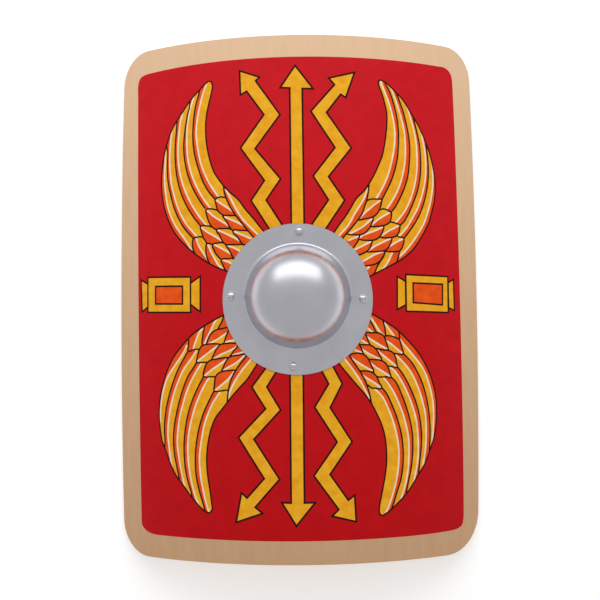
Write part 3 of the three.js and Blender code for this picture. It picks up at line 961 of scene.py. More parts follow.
UPPER_RIGHT_WING = {
    "golden side": (-1, 1),
    "outer": [(90, 21), (97.6, 25.6), (113.7, 33.7), (128.4, 41), (143, 49.1), (160, 62.5), (172.5, 79),
              (185.1, 100), (190.5, 116), (194.7, 130), (196.6, 150), (195.2, 169), (190.5, 190),
              (182.3, 212), (172.5, 231.5), (160, 250.5), (148.5, 267), (135, 279.5), (125, 288),
              (119, 291), (116.3, 291.8)],
    "dividers": [
        [(146.5, 77), (154, 86), (164.5, 100), (173, 115), (179, 130), (183, 145), (185.5, 160),
         (186.2, 175), (185.3, 190), (183, 210)],
        [(141, 94.5), (147, 100), (153.5, 110), (161, 125), (167.3, 140), (171.5, 155), (173.8, 170),
         (174.2, 187), (172.8, 207), (169, 225), (164, 243.5)],
        [(128.5, 112), (135, 120), (143.5, 135), (150.2, 150), (154.6, 165), (157, 185), (157.8, 200),
         (156.7, 215), (154, 230), (149, 250), (143.5, 265), (139.5, 275)],
        [(115.8, 129), (121.8, 140), (129.5, 155), (135, 170), (138.8, 185), (140.5, 200), (141.3, 218),
         (139.9, 238), (136.3, 255), (131.8, 270), (127.5, 280), (122.5, 288)],
    ],
    "inner": [(97.8, 149.5), (104, 160), (111.5, 175), (117.5, 190), (121.8, 210), (124.2, 230),
              (124.7, 245), (121.8, 260), (117.5, 275), (113.4, 285), (113.5, 290), (116.3, 291.8)],
    "quills": [
        [(139.5, 52.5), (149.7, 61.6), (160, 73.5), (170, 87), (178, 100), (184, 115), (188.8, 130),
         (191.8, 145), (193.3, 158), (193.3, 171), (192.8, 181)],
        [(138.5, 79), (149.7, 90.5), (159.5, 105), (168.5, 120), (174.5, 135), (179, 150), (181.5, 165),
         (182.2, 183), (181, 200), (178.5, 212), (176.8, 223)],
        [(134, 97.5), (141, 105), (149, 115), (157, 130), (162.5, 145), (166.2, 160), (168.4, 175),
         (168.6, 195), (167, 215), (163.6, 230), (159, 245), (154.3, 259)],
        [(121.5, 115.5), (128.5, 125), (137.6, 140), (143.8, 155), (147.9, 170), (150.5, 185), (151.1, 203),
         (150.4, 220), (147.5, 235), (143.2, 250), (138.2, 265), (131.3, 282.7)],
        [(106.5, 128.5), (114, 140), (121.8, 155), (127.5, 170), (131.5, 185), (134.5, 200), (136, 218),
         (134.5, 235), (131.2, 250), (126.5, 265), (122.5, 275), (117.5, 288), (117, 291.5)],
    ],
    "covert": {
        "outer": [(54, 66), (61.6, 77), (76.3, 93.9), (87.3, 108.5), (91.7, 120.3), (94.6, 127.6),
                  (97, 141), (97.8, 149.5)],
        "quill": [(50, 72), (57.2, 80.6), (69, 93.9), (77.7, 109.3), (87.3, 123.9), (91, 130.5),
                  (96.3, 144)],
        "inner": [(44, 76), (56.5, 93.9), (67.5, 108.9), (80.3, 129.8), (90.5, 139.5), (97.8, 149.5)],
    },
    "scales": [
        ([(104, 30), (110, 42.5), (113, 47), (116.6, 52), (118.6, 57.2), (122, 64), (136, 64), (139.6, 59),
          (138.6, 54), (136.4, 47.6), (134, 42), (128, 32), (112, 24)],
         [(131, 60), (129.8, 57.9), (127.3, 53.5), (124, 46.9), (119.6, 40.3), (115, 35)]),
        ([(101, 26), (105.6, 34.4), (107.8, 38.8), (109.9, 43.6), (104, 50), (90, 48), (86, 34), (92, 20)],
         [(105, 43.5), (97.5, 40), (94, 35)]),
        ([(118.7, 58.8), (116.6, 52.8), (113.7, 48.4), (110.8, 45), (106.4, 42.5), (100.5, 40.7),
          (92.4, 39.6), (84, 40), (80, 52), (90, 64), (112, 64)],
         [(116, 59), (104.9, 55), (98.3, 51.3), (90.2, 46.9), (84, 43)]),
        ([(146.7, 77.4), (145.6, 69.6), (143.8, 64.5), (140.5, 60.3), (135, 59.2), (128.4, 58.8),
          (120, 59.5), (110, 66), (116, 82), (130, 84), (138.5, 79.3)],
         [(145.5, 77), (137.9, 73.3), (131.3, 69.6), (124.7, 65.6), (118, 62)]),
        ([(129, 77.8), (127.6, 71.1), (125.4, 66.7), (122.5, 63), (119.6, 60.5), (113.7, 59.4),
          (106.4, 58.6), (99, 58.3), (95.4, 57.9), (88, 62), (94, 78), (112, 84), (124, 82)],
         [(128, 76.8), (119.6, 73.3), (112.2, 69.6), (104.9, 66), (97.5, 61.2), (93, 58)]),
        ([(101.6, 74), (100.9, 71.1), (99.4, 66.7), (96.8, 61.6), (93.1, 58.6), (88.8, 56.1), (84.3, 54.2),
          (74, 56), (76, 70), (84, 80), (96, 79)],
         [(101, 72.8), (93.1, 68.9), (85.8, 65.2), (78.5, 61.6), (73, 58)]),
        ([(141.2, 95.4), (140.9, 90.9), (139.8, 86.5), (137.2, 82.1), (134, 79.2), (124.7, 77.7),
          (114.5, 77.5), (106, 82), (112, 96), (122, 101), (128, 98.8), (132, 98.3), (137, 97)],
         [(140, 95), (132.8, 90.9), (125.4, 87.3), (116.6, 81.7), (112, 79)]),
        ([(118.2, 93.8), (117, 88), (115.2, 83.6), (113, 79.9), (110, 77), (106.4, 74.8), (102, 73.7),
          (95.4, 73.5), (88, 73.7), (83.2, 74.8), (76, 78), (82, 90), (98, 100), (112, 98)],
         [(117.7, 92.6), (110, 88.9), (102.7, 85.8), (94.6, 82.8), (88.8, 80.6), (84.5, 77.3), (80, 74)]),
        ([(84, 80.5), (82.9, 75.5), (80.7, 71.1), (77.7, 66.7), (74, 62), (64, 60), (56, 74), (66, 88),
          (78, 88)],
         [(83, 79.5), (76.3, 76.4), (68.2, 73)]),
        ([(112, 115), (117.4, 116.4), (121, 115.9), (124.7, 114.2), (128.6, 112), (129.2, 109),
          (128.7, 105.6), (127.6, 100.8), (124.7, 97), (121, 95), (116, 93.3), (110, 92.8), (99, 92),
          (92, 96), (96, 108), (104, 114)],
         [(128, 112.5), (118.1, 107.1), (110, 101.9), (102.7, 96.1), (98, 92.5)]),
        ([(102.9, 104.5), (101.6, 98.5), (100.1, 94.6), (98.3, 90.9), (95.4, 87.3), (92.4, 84.3),
          (88.8, 82.1), (84.3, 80.8), (77, 80.8), (68.5, 81.2), (62, 86), (76, 104), (92, 110)],
         [(102, 103.4), (94.6, 96.8), (87.3, 90.9), (79.2, 86.5), (70.4, 82.1)]),
        ([(113.7, 119.9), (115, 124.7), (116, 129), (110, 129.2), (102, 129.3), (98.3, 128.5),
          (94.6, 126.8), (86, 122), (76, 104), (82.5, 100.6), (90.2, 101.9), (96, 103), (102.7, 105.2),
          (106.4, 107.4), (109.3, 110.7), (111.9, 114.6)],
         [(113.5, 128), (107.5, 123.5), (98, 116), (90.2, 109.3), (83, 102)]),
    ],
}
LOWER_LEFT_WING = {
    "golden side": (1, -1),
    "outer": [(-92, -20), (-99.8, -23.9), (-116, -31.7), (-130.7, -39.8), (-145.3, -49.3), (-160, -63.3),
              (-173, -78), (-183.1, -95), (-190.8, -115), (-195.6, -135), (-197.5, -155), (-196.3, -173),
              (-192.2, -194), (-186.5, -206), (-180.7, -220), (-170.5, -238), (-160, -250), (-147.3, -265),
              (-132, -280), (-124, -284.3), (-120.3, -284.9)],
    "dividers": [
        [(-151.5, -71.5), (-160, -84.6), (-169, -100), (-177.5, -120), (-183.8, -140), (-187.8, -160),
         (-189, -178), (-188.1, -192), (-188.7, -202)],
        [(-138.7, -86), (-144.4, -95), (-151.7, -105), (-158.6, -120), (-165.5, -140), (-170.7, -160),
         (-173.8, -177), (-174.4, -193), (-173, -210), (-169.7, -225), (-165.5, -243.5)],
        [(-128.4, -105), (-137.1, -120), (-144.4, -135), (-150.2, -150), (-154.6, -167), (-157.4, -186),
         (-158.2, -202), (-157, -223), (-153.2, -243), (-149, -255), (-145.5, -267)],
        [(-113.4, -124), (-119.5, -135), (-127.2, -150), (-132.9, -165), (-137.1, -180), (-140.2, -198),
         (-141.3, -217), (-140.3, -235), (-136.7, -253), (-131.3, -270), (-127.5, -282.5)],
    ],
    "inner": [(-95.3, -139.8), (-103.8, -150), (-111.8, -160), (-118.3, -175), (-122.1, -190),
              (-124.2, -205), (-124.7, -218), (-123.5, -235), (-120.6, -253), (-117.8, -273),
              (-117, -280), (-120.3, -284.9)],
    "quills": [
        [(-152.8, -63), (-158, -72.5), (-167, -84.5), (-175.5, -95), (-183.9, -107), (-190.8, -125),
         (-194, -140), (-195.4, -155), (-195.9, -168)],
        [(-138.5, -70), (-146.8, -81.6), (-157.8, -95), (-165.9, -110), (-172.4, -125), (-177.2, -140),
         (-181.5, -160), (-183.5, -182), (-182, -197), (-179.5, -214), (-177, -227)],
        [(-131, -87), (-137.1, -95), (-146.3, -110), (-153.6, -125), (-160.4, -145), (-164.7, -160),
         (-167.8, -180), (-168.6, -195), (-166.8, -210), (-162.9, -230), (-157.5, -252.5)],
        [(-120, -106), (-126.4, -115), (-134.4, -130), (-141, -145), (-146, -160), (-149.8, -175),
         (-152, -190), (-152.6, -206), (-151, -225), (-147.3, -245), (-142, -263), (-136.5, -275.5)],
        [(-104, -123.5), (-108.4, -130), (-115.3, -140), (-122.6, -155), (-128.1, -170), (-131.5, -186),
         (-134.3, -203), (-135.3, -216), (-133.8, -236), (-130, -256), (-125.8, -272), (-122, -284)],
    ],
    "covert": {
        "outer": [(-62, -70), (-69, -78.7), (-77.8, -89.7), (-85.9, -101.4), (-91.8, -115.4), (-94, -127),
                  (-95.3, -139.8)],
        "quill": [(-56, -76), (-63.2, -83.8), (-73.4, -95.6), (-83, -108.8), (-90.3, -122.7), (-94, -134)],
        "inner": [(-48, -80), (-55, -90.4), (-66.8, -108), (-77.1, -119), (-86.6, -129.3), (-95.3, -139.8)],
    },
    "scales": [
        ([(-126.5, -38), (-128.5, -46), (-129.9, -53.7), (-130.8, -61), (-130, -68), (-140, -68.8),
          (-145.3, -70), (-151.5, -71.5), (-150.9, -64), (-150.2, -58.2), (-152, -48), (-140, -34)],
         [(-126.5, -38.5), (-134.3, -45.7), (-137.3, -51.5), (-140.2, -58.9), (-142.8, -65.5),
          (-144, -70)]),
        ([(-97, -22), (-101.3, -31), (-104.2, -36.1), (-107.2, -42), (-110, -50), (-118, -64), (-124, -66),
          (-130.7, -63.5), (-130.8, -59.6), (-129.9, -53.7), (-129.2, -47.9), (-127.7, -42), (-126, -36),
          (-120, -26), (-108, -18)],
         [(-107, -27), (-113, -33.9), (-116, -39.8), (-119.6, -47.1), (-123.3, -53), (-125.5, -58.2),
          (-128, -64)]),
        ([(-97, -22), (-101.3, -31), (-104.2, -36.1), (-107.6, -42.4), (-106, -48), (-90, -46),
        (-86, -28)], None), ([(-92, -41), (-101.3, -41.8), (-107.2, -42.6), (-113, -44.8), (-117.4, -48),
          (-120.4, -52.3), (-122.6, -57.4), (-124.4, -62), (-116, -66), (-104, -66), (-99.5, -61.1),
          (-97.6, -56), (-96.2, -51.5), (-93.5, -46)],
         [(-93.5, -47), (-101.3, -51.5), (-108.6, -56), (-116, -59.6), (-122, -62)]),
        ([(-92, -43), (-94, -47.1), (-96.2, -51.5), (-97.6, -56), (-99.6, -61.5), (-96, -66), (-80, -64),
          (-78, -50)],
         [(-84, -57), (-87, -57.8), (-92.5, -58.5), (-98, -60.5)]),
        ([(-105, -62.9), (-108.6, -62), (-117.4, -61.8), (-124.8, -62.6), (-130.7, -64.2), (-132.9, -66.4),
          (-135, -69.9), (-136.5, -75), (-138, -80.9), (-139, -86.4), (-131, -86.5), (-124.8, -86.4),
          (-112, -90), (-104, -76)],
         [(-107, -64), (-116, -69.9), (-123.3, -75), (-130.7, -80.2), (-138, -85.4)]),
        ([(-78, -60), (-83.7, -61.5), (-90.3, -61.1), (-97.6, -61.8), (-105, -63), (-108.6, -67),
          (-111.6, -71.4), (-113.8, -76.5), (-116.7, -83.5), (-108, -88), (-96, -86), (-91.8, -79.4),
          (-88.8, -75.8), (-85.9, -71.4), (-82.2, -67.7)],
         [(-80, -65.2), (-87.4, -69.2), (-95.4, -72.8), (-102.8, -75.8), (-110.1, -79.8), (-116, -83)]),
        ([(-79, -64), (-82.2, -67.7), (-85.9, -71.4), (-88.8, -75.8), (-92, -79.8), (-88, -84), (-72, -82),
          (-66, -70)],
         [(-72, -73), (-77.8, -74.7), (-85, -76.5), (-91, -79)]),
        ([(-94, -80.4), (-105.7, -81.6), (-113, -82.4), (-118.9, -83.8), (-124, -87.5), (-126.2, -91.9),
          (-127.7, -97), (-128.7, -105.2), (-119.6, -105.6), (-112.3, -105.6), (-100, -106), (-92, -96),
          (-90, -86)],
         [(-93, -81), (-100.6, -86), (-108.6, -91.2), (-116.7, -96.3), (-128, -105)]),
        ([(-69, -76.8), (-79.3, -77.2), (-86.6, -78), (-91.8, -79.4), (-95.4, -83.1), (-98.4, -88.2),
          (-100.6, -93.4), (-103, -98.5), (-96, -102), (-80, -102), (-70, -90)],
         [(-70, -76.9), (-77.1, -83.1), (-83.7, -88.2), (-89.6, -91.2), (-97.6, -95.6), (-102.5, -98.4)]),
        ([(-82, -97.5), (-91.8, -97.4), (-99.8, -98.1), (-105.7, -100), (-109.4, -102.6), (-111.6, -106),
          (-112.7, -111.7), (-113.2, -118), (-113.4, -124.6), (-105, -124.5), (-97.6, -123.4), (-88, -122),
          (-76, -104)],
         [(-85, -98), (-90.3, -105.1), (-96.9, -111.7), (-103.5, -116.8), (-113, -124.3)]),
    ],
}
LOWER_RIGHT_WING = {
    "golden side": (-1, -1),
    "outer": [(92, -21), (100.2, -25), (114.8, -33), (131.6, -43.4), (148.5, -58.3), (165, -76),
              (177.4, -95), (186.1, -115), (190.9, -134), (192.2, -150), (191.2, -172), (187.5, -190),
              (181.6, -205), (172.4, -225), (161.6, -240), (146.9, -260), (131, -275), (118.4, -285),
              (109.8, -289.7)],
    "dividers": [
        [(143, -77.5), (154.6, -89), (164.8, -105), (173.2, -125), (179.1, -150), (181.5, -178),
         (180.6, -198), (179.6, -208)],
        [(133.6, -94.5), (141.8, -105), (150.6, -120), (159.4, -140), (165.2, -160), (168, -183),
         (167.5, -200), (165, -220), (162.5, -239)],
        [(124.2, -108), (131.4, -115), (138.7, -130), (146.4, -150), (152, -170), (154.7, -190),
         (154.2, -210), (151.7, -230), (148, -245), (144, -262)],
        [(111.3, -122), (118, -130), (125.3, -145), (131.4, -160), (136, -175), (139.1, -190),
         (140.5, -208), (139.6, -226), (136.1, -245), (130.6, -260), (125.5, -275), (122.5, -282)],
    ],
    "inner": [(97, -143), (105.7, -160), (111.9, -175), (115.3, -190), (116.7, -208), (116.1, -225),
              (113.8, -240), (110.7, -255), (107.3, -270), (105.2, -283), (106.5, -288), (109.8, -289.7)],
    "quills": [
        [(137, -57), (145.4, -66.7), (159.9, -82.8), (173.2, -100), (181.3, -120), (186.1, -140),
         (187.4, -158), (186.2, -180), (184.3, -197)],
        [(131.5, -79), (143, -89.5), (155.2, -105), (164.8, -125), (171.3, -145), (174.6, -160),
         (175.3, -180), (174.4, -200), (171.1, -220), (169.5, -229)],
        [(122, -94.5), (129.5, -100), (140.2, -115), (150.2, -135), (157.5, -155), (161.1, -170),
         (162.6, -188), (162.9, -205), (160.9, -225), (155, -249)],
        [(113, -108), (119.1, -115), (128.9, -130), (136, -145), (141.8, -160), (145.8, -175),
         (148.6, -190), (149, -208), (147.3, -230), (143.2, -250), (136, -270)],
        [(100, -122.5), (104.6, -126), (112.6, -135), (120.1, -150), (126, -165), (130.4, -180),
         (133.3, -196), (134.3, -210), (132.5, -232), (128.6, -250), (123.8, -265), (118, -280),
         (114, -287)],
    ],
    "covert": {
        "outer": [(62, -72), (68.4, -80.5), (75.7, -91.3), (83.4, -102.8), (89.5, -114.3), (93.7, -127.3),
                  (97, -143)],
        "quill": [(56, -77), (62.7, -85.1), (72.6, -98.2), (82.6, -113.5), (91, -129.6), (95.5, -138.5)],
        "inner": [(46, -80), (55, -91.3), (65, -103.5), (76.5, -117.3), (88, -130.3), (97, -143)],
    },
    "scales": [
        ([(110, -30), (112, -46), (115, -56), (124, -58), (134, -60), (137.6, -58.8), (137.4, -52),
          (137.2, -46), (142, -40), (128, -28)],
         [(115, -33), (117.5, -37.6), (122.4, -43.8), (128.6, -52.2), (131, -56)]),
        ([(94, -22), (104, -18), (114, -24), (114.8, -34), (116.9, -43), (117.7, -49.1), (117.6, -54.3),
          (108, -58), (98, -54), (90, -30)],
         [(96, -27.5), (98.7, -30.7), (103.3, -37.6), (108.6, -46.1), (113.2, -51.4), (117, -54)]),
        ([(93, -28), (97.1, -34.6), (101, -40.7), (104, -46.8), (105.8, -50), (100, -54), (86, -54),
          (84, -40)],
         [(90, -41), (94.1, -43.8), (99.4, -48.4), (103, -51)]),
        ([(117, -54), (124, -53.7), (130.1, -55.2), (134.7, -57.2), (137.6, -58.6), (139.5, -63.6),
          (140.8, -69), (142.9, -78), (136.2, -78), (129.5, -77), (118, -76), (112, -64)],
         [(117.5, -59.5), (126.3, -65.2), (133.9, -71.3), (142.5, -78)]),
        ([(89, -50), (97.9, -49.5), (107.1, -49.5), (110.9, -50.7), (114.8, -53.3), (116.5, -56.2),
          (118.6, -62.1), (120.3, -67.5), (122, -72.6), (116.3, -72.4), (110, -71.3), (100, -74),
          (88, -66)],
         [(91, -54), (101, -60.6), (110.2, -66), (118.6, -70.6), (121.5, -72.3)]),
        ([(88, -48), (90, -50.5), (91.8, -55.2), (94.1, -61.4), (96.4, -65.6), (90, -70), (74, -66),
          (76, -52)],
         [(82, -58), (85.7, -59.8), (91.8, -63.7), (95.5, -66)]),
        ([(103.5, -70.3), (111.7, -72.1), (120.1, -72.9), (125.5, -74.4), (128.8, -76.9), (130.9, -80.5),
          (132.4, -85.9), (133.2, -90.5), (134.1, -96), (127, -94.6), (120.5, -94), (110, -92), (102, -80)],
         [(106, -73), (116.3, -81.3), (124, -87.4), (133.5, -95.2)]),
        ([(80, -66), (88.7, -65.2), (95.6, -65.6), (101, -67.9), (104.8, -72.1), (107.1, -75.4),
          (109.4, -79.8), (112, -85.7), (104, -85.2), (94.1, -85.3), (84, -86), (76, -74)],
         [(84, -70.5), (93.3, -76.7), (101, -80.5), (111, -85.5)]),
        ([(79, -60), (82.3, -66.7), (84.9, -72.1), (86.6, -77.2), (80, -82), (66, -80), (68, -66)],
         [(75, -71), (78, -72.9), (84.1, -75.4), (86.5, -77)]),
        ([(93, -85), (101, -85.1), (108.6, -85.5), (114, -87.4), (117.8, -90.5), (120.3, -94.3),
          (121.8, -98.9), (123.3, -103.5), (125, -109.2), (118.6, -107.8), (111.7, -108.2), (104, -107.5),
          (94, -104), (90, -92)],
         [(95.5, -88.8), (104.8, -95.9), (112.5, -100.5), (124.3, -108.5)]),
        ([(68, -78.5), (73.4, -76.5), (81.1, -76.3), (86.4, -77.5), (90.2, -80.2), (93.3, -83.6),
          (95.7, -89), (97.9, -94.3), (100.6, -101), (94, -100.2), (88.7, -99.6), (81, -99.4), (70, -96),
          (62, -82)],
         [(70.5, -82.5), (81.1, -89.7), (88.7, -94.3), (100, -100.6)]),
        ([(80, -100.5), (88.7, -99.7), (96.4, -100.8), (101, -103.5), (104, -106.6), (105.8, -109.7),
          (108, -115.8), (111.6, -123), (102.5, -122.8), (97.1, -122.4), (92.5, -118.5), (84, -116),
          (74, -104)],
         [(83.5, -104), (91.8, -109.7), (99.4, -114.3), (111, -122.5)]),
    ],
}

# Three thunderbolts leave the boss upwards and three downwards, each drawn round its edge
THUNDERBOLTS = [
    [(10, 80), (9.2, 277), (23.7, 276.6), (0, 308.3), (-20.3, 278.7), (-7.5, 278), (-7.2, 80)],
    [(-12, 83), (-20, 95.8), (-40.3, 128), (-20.8, 155.8), (-54.7, 197.5), (-20.8, 242.2), (-53.3, 289.2),
     (-48.3, 294.2), (-75.3, 304.2), (-74.2, 271.3), (-65.8, 275.8), (-42.5, 243), (-74.7, 199.2),
     (-42.5, 154.2), (-60.8, 128), (-37.5, 90.8), (-27, 74)],
    [(13, 83), (20.8, 95.8), (42.5, 127.2), (22.5, 159.2), (52, 197.5), (20.3, 246.2), (52.5, 282.5),
     (44.7, 291.3), (80, 300), (67.5, 265.3), (60.8, 269.7), (41.3, 244.7), (74.2, 197.2), (43, 158.3),
     (64.2, 126.7), (40, 90.8), (29, 75)],
    [(-10.8, -80), (-11, -270), (-23.2, -269.4), (-4.4, -299.7), (20.5, -269.7), (6.4, -270), (6.6, -80)],
    [(-17, -82), (-28.9, -99.7), (-41.5, -119.3), (-23.5, -149.5), (-59.2, -187.6), (-25.7, -239.4),
     (-58.3, -275.8), (-48.5, -283.5), (-84, -295.8), (-76.6, -257.4), (-69, -263.9), (-46.1, -238.6),
     (-80.1, -185.5), (-43.6, -147.9), (-61.6, -119.3), (-43.6, -95.6), (-33, -80)],
    [(20, -80), (30.7, -98.9), (39.7, -116), (20.9, -146.3), (50, -192), (19, -235.3), (51.1, -279.4),
     (42.2, -287.6), (74, -295.8), (72.4, -261.5), (63.9, -267.7), (40.2, -233.7), (69.9, -192),
     (41.5, -147.1), (57.8, -116), (47.9, -97.3), (38, -78)],
]

# A framed tablet with a flared ear at each end, on each side of the boss
TABLETS = [
    {"frame": [(-147.4, 28.6), (-216.3, 31), (-216.3, -17.4), (-147.4, -19.3)],
     "panel": [(-159.6, 16.6), (-203.1, 17.9), (-203.1, -6.2), (-159.6, -7.6)],
     "ears": [[(-147.4, 20.1), (-147.4, -8.5), (-133, -18.9), (-132.8, 29.2)],
              [(-216.3, 21.8), (-228.5, 27.9), (-226.4, -16.3), (-216.3, -9.8)]]},
    {"frame": [(214.7, 27.2), (148.3, 28.5), (148.3, -20.9), (214.3, -22.2)],
     "panel": [(205.6, 16.4), (159.2, 17.3), (158.9, -9.2), (204.8, -11.8)],
     "ears": [[(147.9, 19.4), (135.8, 25.9), (135.1, -18.7), (147.9, -12.2)],
              [(215, 19), (215, -15.7), (224.9, -19.1), (224.2, 23.6)]]},
]

# The red ground's edge: each side's line and the rounding of each corner
RED_GROUND = {
    "left side": [(-227.6, -308.5), (-229, -298), (-230.7, -200), (-232.2, -100), (-233.8, 60), (-235, 290)],
    "top": [(-235.2, 301), (-232, 312), (-224, 316), (-205, 317.3), (-120, 319.4), (0, 320.3), (205, 320)],
    "right side": [(219, 319), (228, 311), (230.4, 294.5), (233.3, 150), (235.2, 0), (236, -200),
                   (235.4, -290)],
    "bottom": [(234.6, -304.4), (231.5, -312.6), (216, -317.2), (100, -319), (-195, -319.2), (-207, -318.8),
               (-219, -315.7)],
}


def smooth_line(points, closed=False):
    """A smooth line through the points, with a place every few millimetres."""
    count = len(points)
    line = []
    for i in range(count if closed else count - 1):
        near = [i - 1, i, i + 1, i + 2]
        near = [k % count if closed else min(max(k, 0), count - 1) for k in near]
        before, start, end, after = (Vector(points[k]) for k in near)
        steps = max(1, round((end - start).length / CURVE_STEP))
        reach = (end - start).length
        leave = (end - before).normalized() * reach if end != before else end - start
        arrive = (after - start).normalized() * reach if after != start else end - start
        for j in range(steps):
            t = j / steps
            place = ((2 * t**3 - 3 * t**2 + 1) * start + (t**3 - 2 * t**2 + t) * leave
                     + (3 * t**2 - 2 * t**3) * end + (t**3 - t**2) * arrive)
            line.append(tuple(place))
    if not closed:
        line.append(points[-1])
    return line


def finely(outline):
    """The same closed outline with no straight stretch longer than the straight step."""
    fine = []
    for a, b in zip(outline, outline[1:] + outline[:1]):
        steps = max(1, math.ceil(math.dist(a, b) / STRAIGHT_STEP))
        fine += [(lerp(a[0], b[0], j / steps), lerp(a[1], b[1], j / steps)) for j in range(steps)]
    return fine


def beside(line, distance, closed=False):
    """The line moved to its left by the distance, with mitred corners."""
    moved = []
    count = len(line)
    for i, point in enumerate(line):
        before = Vector(line[(i - 1) % count] if closed or i else point)
        after = Vector(line[(i + 1) % count] if closed or i + 1 < count else point)
        here = Vector(point)
        coming = (here - before).normalized() if here != before else (after - here).normalized()
        going = (after - here).normalized() if after != here else coming
        left = Vector((-coming.y, coming.x)) + Vector((-going.y, going.x))
        mitre = left.normalized() if left.length > 1e-6 else Vector((-going.y, going.x))
        spread = max(mitre.dot(Vector((-going.y, going.x))), SHARPEST_MITRE)
        moved.append(tuple(here + mitre * distance / spread))
    return moved


def drawn(line, width, closed=False):
    """The outline of a painted line."""
    left = beside(line, width / 2, closed)
    right = beside(line, -width / 2, closed)
    if closed:
        left.append(left[0])
        right.append(right[0])
    return left + right[::-1]


def between(first, second, edge):
    """The area between two lines from a wing's root to its outer edge, closed along that edge."""
    low, high = sorted((abs(first[-1][1]), abs(second[-1][1])))
    join = [p for p in edge if low < abs(p[1]) < high]
    if abs(first[-1][1]) > abs(second[-1][1]):
        join.reverse()
    return first + join + second[::-1]


class Painting:
    """Painted shapes in the order in which they were laid down, each kept inside its masks."""

    def __init__(self):
        self.shapes = []

    def paint(self, outline, colour, masks=()):
        self.shapes.append((finely(outline), colour, [finely(mask) for mask in masks]))

    def line(self, points, colour, width, masks=(), closed=False):
        self.paint(drawn(points, width, closed), colour, masks)


def golden_half(quill, side):
    """The area on the golden side of a scale's quill."""
    reach = SCALE_REACH
    first, last = Vector(quill[0]), Vector(quill[-1])
    start = first + (first - Vector(quill[1])).normalized() * reach
    end = last + (last - Vector(quill[-2])).normalized() * reach
    line = [tuple(start), *quill, tuple(end)]
    return line + [(s + reach * side[0], y + reach * side[1]) for s, y in line[::-1]]


def paint_wing(picture, wing):
    """The flight feathers, then the scales over their roots, then the covert feather over both."""
    outer = smooth_line(wing["outer"])
    inner = smooth_line(wing["inner"])
    covert = {name: smooth_line(line) for name, line in wing["covert"].items()}
    whole = outer + inner[::-1] + covert["inner"][::-1]
    picture.paint(whole, "yellow")
    edges = [outer, *[smooth_line(line) for line in wing["dividers"]], covert["outer"][-3:] + inner]
    for edge, quill_points, next_edge in zip(edges, wing["quills"], edges[1:]):
        quill = smooth_line(quill_points)
        if edge is outer:
            edge = [p for p in outer if abs(p[1]) < abs(quill[-1][1])]
        picture.paint(between(edge, quill, outer), "orange", [whole])
        picture.paint(between(quill, next_edge, outer), "yellow", [whole])
        picture.line(quill, "cream", QUILL_LINE, [whole])
    for divider in edges[1:-1]:
        picture.line(divider, "dark", PAINT_LINE, [whole])
    for outline, quill in wing["scales"]:
        scale = smooth_line(outline, closed=True)
        picture.paint(scale, "orange", [whole])
        if quill:
            middle = smooth_line(quill)
            picture.paint(golden_half(middle, wing["golden side"]), "yellow", [whole, scale])
            picture.line(middle, "cream", QUILL_LINE, [whole, scale])
        picture.line(scale, "dark", PAINT_LINE, [whole], closed=True)
    feather = covert["outer"] + covert["inner"][::-1]
    picture.paint(feather, "orange")
    picture.paint(covert["quill"] + [covert["inner"][-1]] + covert["inner"][::-1], "yellow")
    picture.line(covert["quill"], "cream", QUILL_LINE, [feather])
    picture.line(covert["outer"], "dark", PAINT_LINE, [whole])
    picture.line(outer, "dark", PAINT_LINE)
    picture.line(covert["inner"] + inner, "dark", PAINT_LINE)


def painting():
    """The whole blazon in painter's order, as (outline, colour, masks)."""
    picture = Painting()
    ground = [point for side in ("top", "right side", "bottom", "left side") for point in RED_GROUND[side]]
    picture.paint(smooth_line(ground, closed=True), "red")
    for bolt_outline in THUNDERBOLTS:
        picture.paint(bolt_outline, "yellow")
        picture.line(bolt_outline, "dark", THUNDERBOLT_LINE, closed=True)
    for tablet in TABLETS:
        golden = [*tablet["ears"], tablet["frame"]]
        for outline, colour in [*[(part, "yellow") for part in golden], (tablet["panel"], "orange")]:
            picture.paint(outline, colour)
            picture.line(outline, "dark", TABLET_LINE, closed=True)
    for wing in (UPPER_LEFT_WING, UPPER_RIGHT_WING, LOWER_LEFT_WING, LOWER_RIGHT_WING):
        paint_wing(picture, wing)
    return picture.shapes


# ---- Scene ----

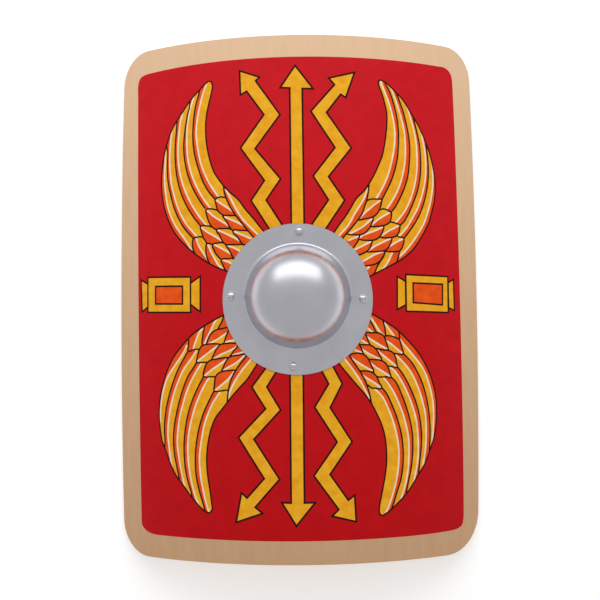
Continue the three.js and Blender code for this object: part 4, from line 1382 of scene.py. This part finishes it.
def build():
    slots = {
        "border": bare_border(),
        "red": red_paint(),
        "yellow": paint("golden_paint", tone(252, 186, 40), tone(242, 164, 20)),
        "orange": paint("orange_paint", tone(248, 96, 20), tone(236, 76, 14)),
        "cream": paint("cream_paint", tone(255, 238, 214), tone(250, 222, 190)),
        "dark": paint("outline_paint", tone(52, 8, 4), tone(34, 5, 3)),
        "back": grained_wood("plywood_back", tone(212, 172, 122), tone(188, 144, 96), (9, 0.7, 9), 0.5),
        "edge": plywood_edge(),
    }
    steel = spun_steel()
    bright_zinc = zinc()
    ash = grained_wood("grip_ash", tone(206, 166, 116), tone(172, 128, 82), (0.6, 9, 9), 0.5)
    pieces = [
        (board(painting(), slots), "board", "board"),
        (boss(steel), "boss", "boss_steel"),
        (grip(ash), "grip", "grip_wood"),
    ]
    for name, seat in bolt_seats().items():
        pieces.append((bolt(f"bolt_{name}_turned", seat, bright_zinc), f"bolt_{name}", "zinc_steel"))
        pieces.append((washer(f"washer_{name}_turned", seat, bright_zinc), f"washer_{name}", "zinc_steel"))
        pieces.append((nut(f"nut_{name}_cut", seat, bright_zinc), f"nut_{name}", "zinc_steel"))
    for piece, node, slot in pieces:
        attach(piece, "root")
        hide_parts(node)


def camera():
    """Looks down on the shield, from a place in millimetres over its crown."""
    lens, sensor = 53.84, 36
    reach = Vector((3.35, -5.51, 1181.9))
    yaw, roll, pitch = 0.01123, -0.01468, -0.05512
    turn = Matrix.Rotation(yaw, 4, "Z") @ Matrix.Rotation(roll, 4, "Y") @ Matrix.Rotation(pitch, 4, "X")
    data = bpy.data.cameras.new("camera")
    data.lens = lens
    data.sensor_width = sensor
    eye = bpy.data.objects.new("camera", data)
    bpy.context.scene.collection.objects.link(eye)
    place = Matrix.Translation((0, 0, CROWN_Z)) @ turn.inverted() @ Matrix.Translation(reach)
    eye.matrix_world = Matrix.Translation(place.translation * MM) @ place.to_3x3().to_4x4()
    bpy.context.scene.camera = eye


def lamp(name, place, aim, size, watts):
    data = bpy.data.lights.new(name, "AREA")
    data.shape = "RECTANGLE"
    data.size, data.size_y = size
    data.energy = watts
    lamp_object = bpy.data.objects.new(name, data)
    lamp_object.location = place
    lamp_object.rotation_euler = (Vector(aim) - Vector(place)).to_track_quat("-Z", "Y").to_euler()
    bpy.context.scene.collection.objects.link(lamp_object)


def studio():
    """A white floor under a white sky, with one wide softbox beyond the top of the shield."""
    bpy.ops.mesh.primitive_plane_add(size=FLOOR_SIZE, location=(0, 0, -FLOOR_DROP))
    floor = bpy.context.object
    floor.name = "floor"
    floor.data.materials.append(studio_floor())
    world = bpy.data.worlds.new("studio")
    bpy.context.scene.world = world
    world.use_nodes = True
    world.node_tree.nodes["Background"].inputs["Color"].default_value = (1, 1, 1, 1)
    world.node_tree.nodes["Background"].inputs["Strength"].default_value = WORLD_STRENGTH
    bpy.context.scene.view_settings.view_transform = "Standard"
    lamp("softbox", SOFTBOX_PLACE, (0, 0, 0), SOFTBOX_SIZE, SOFTBOX_WATTS)


camera()
build()
studio()
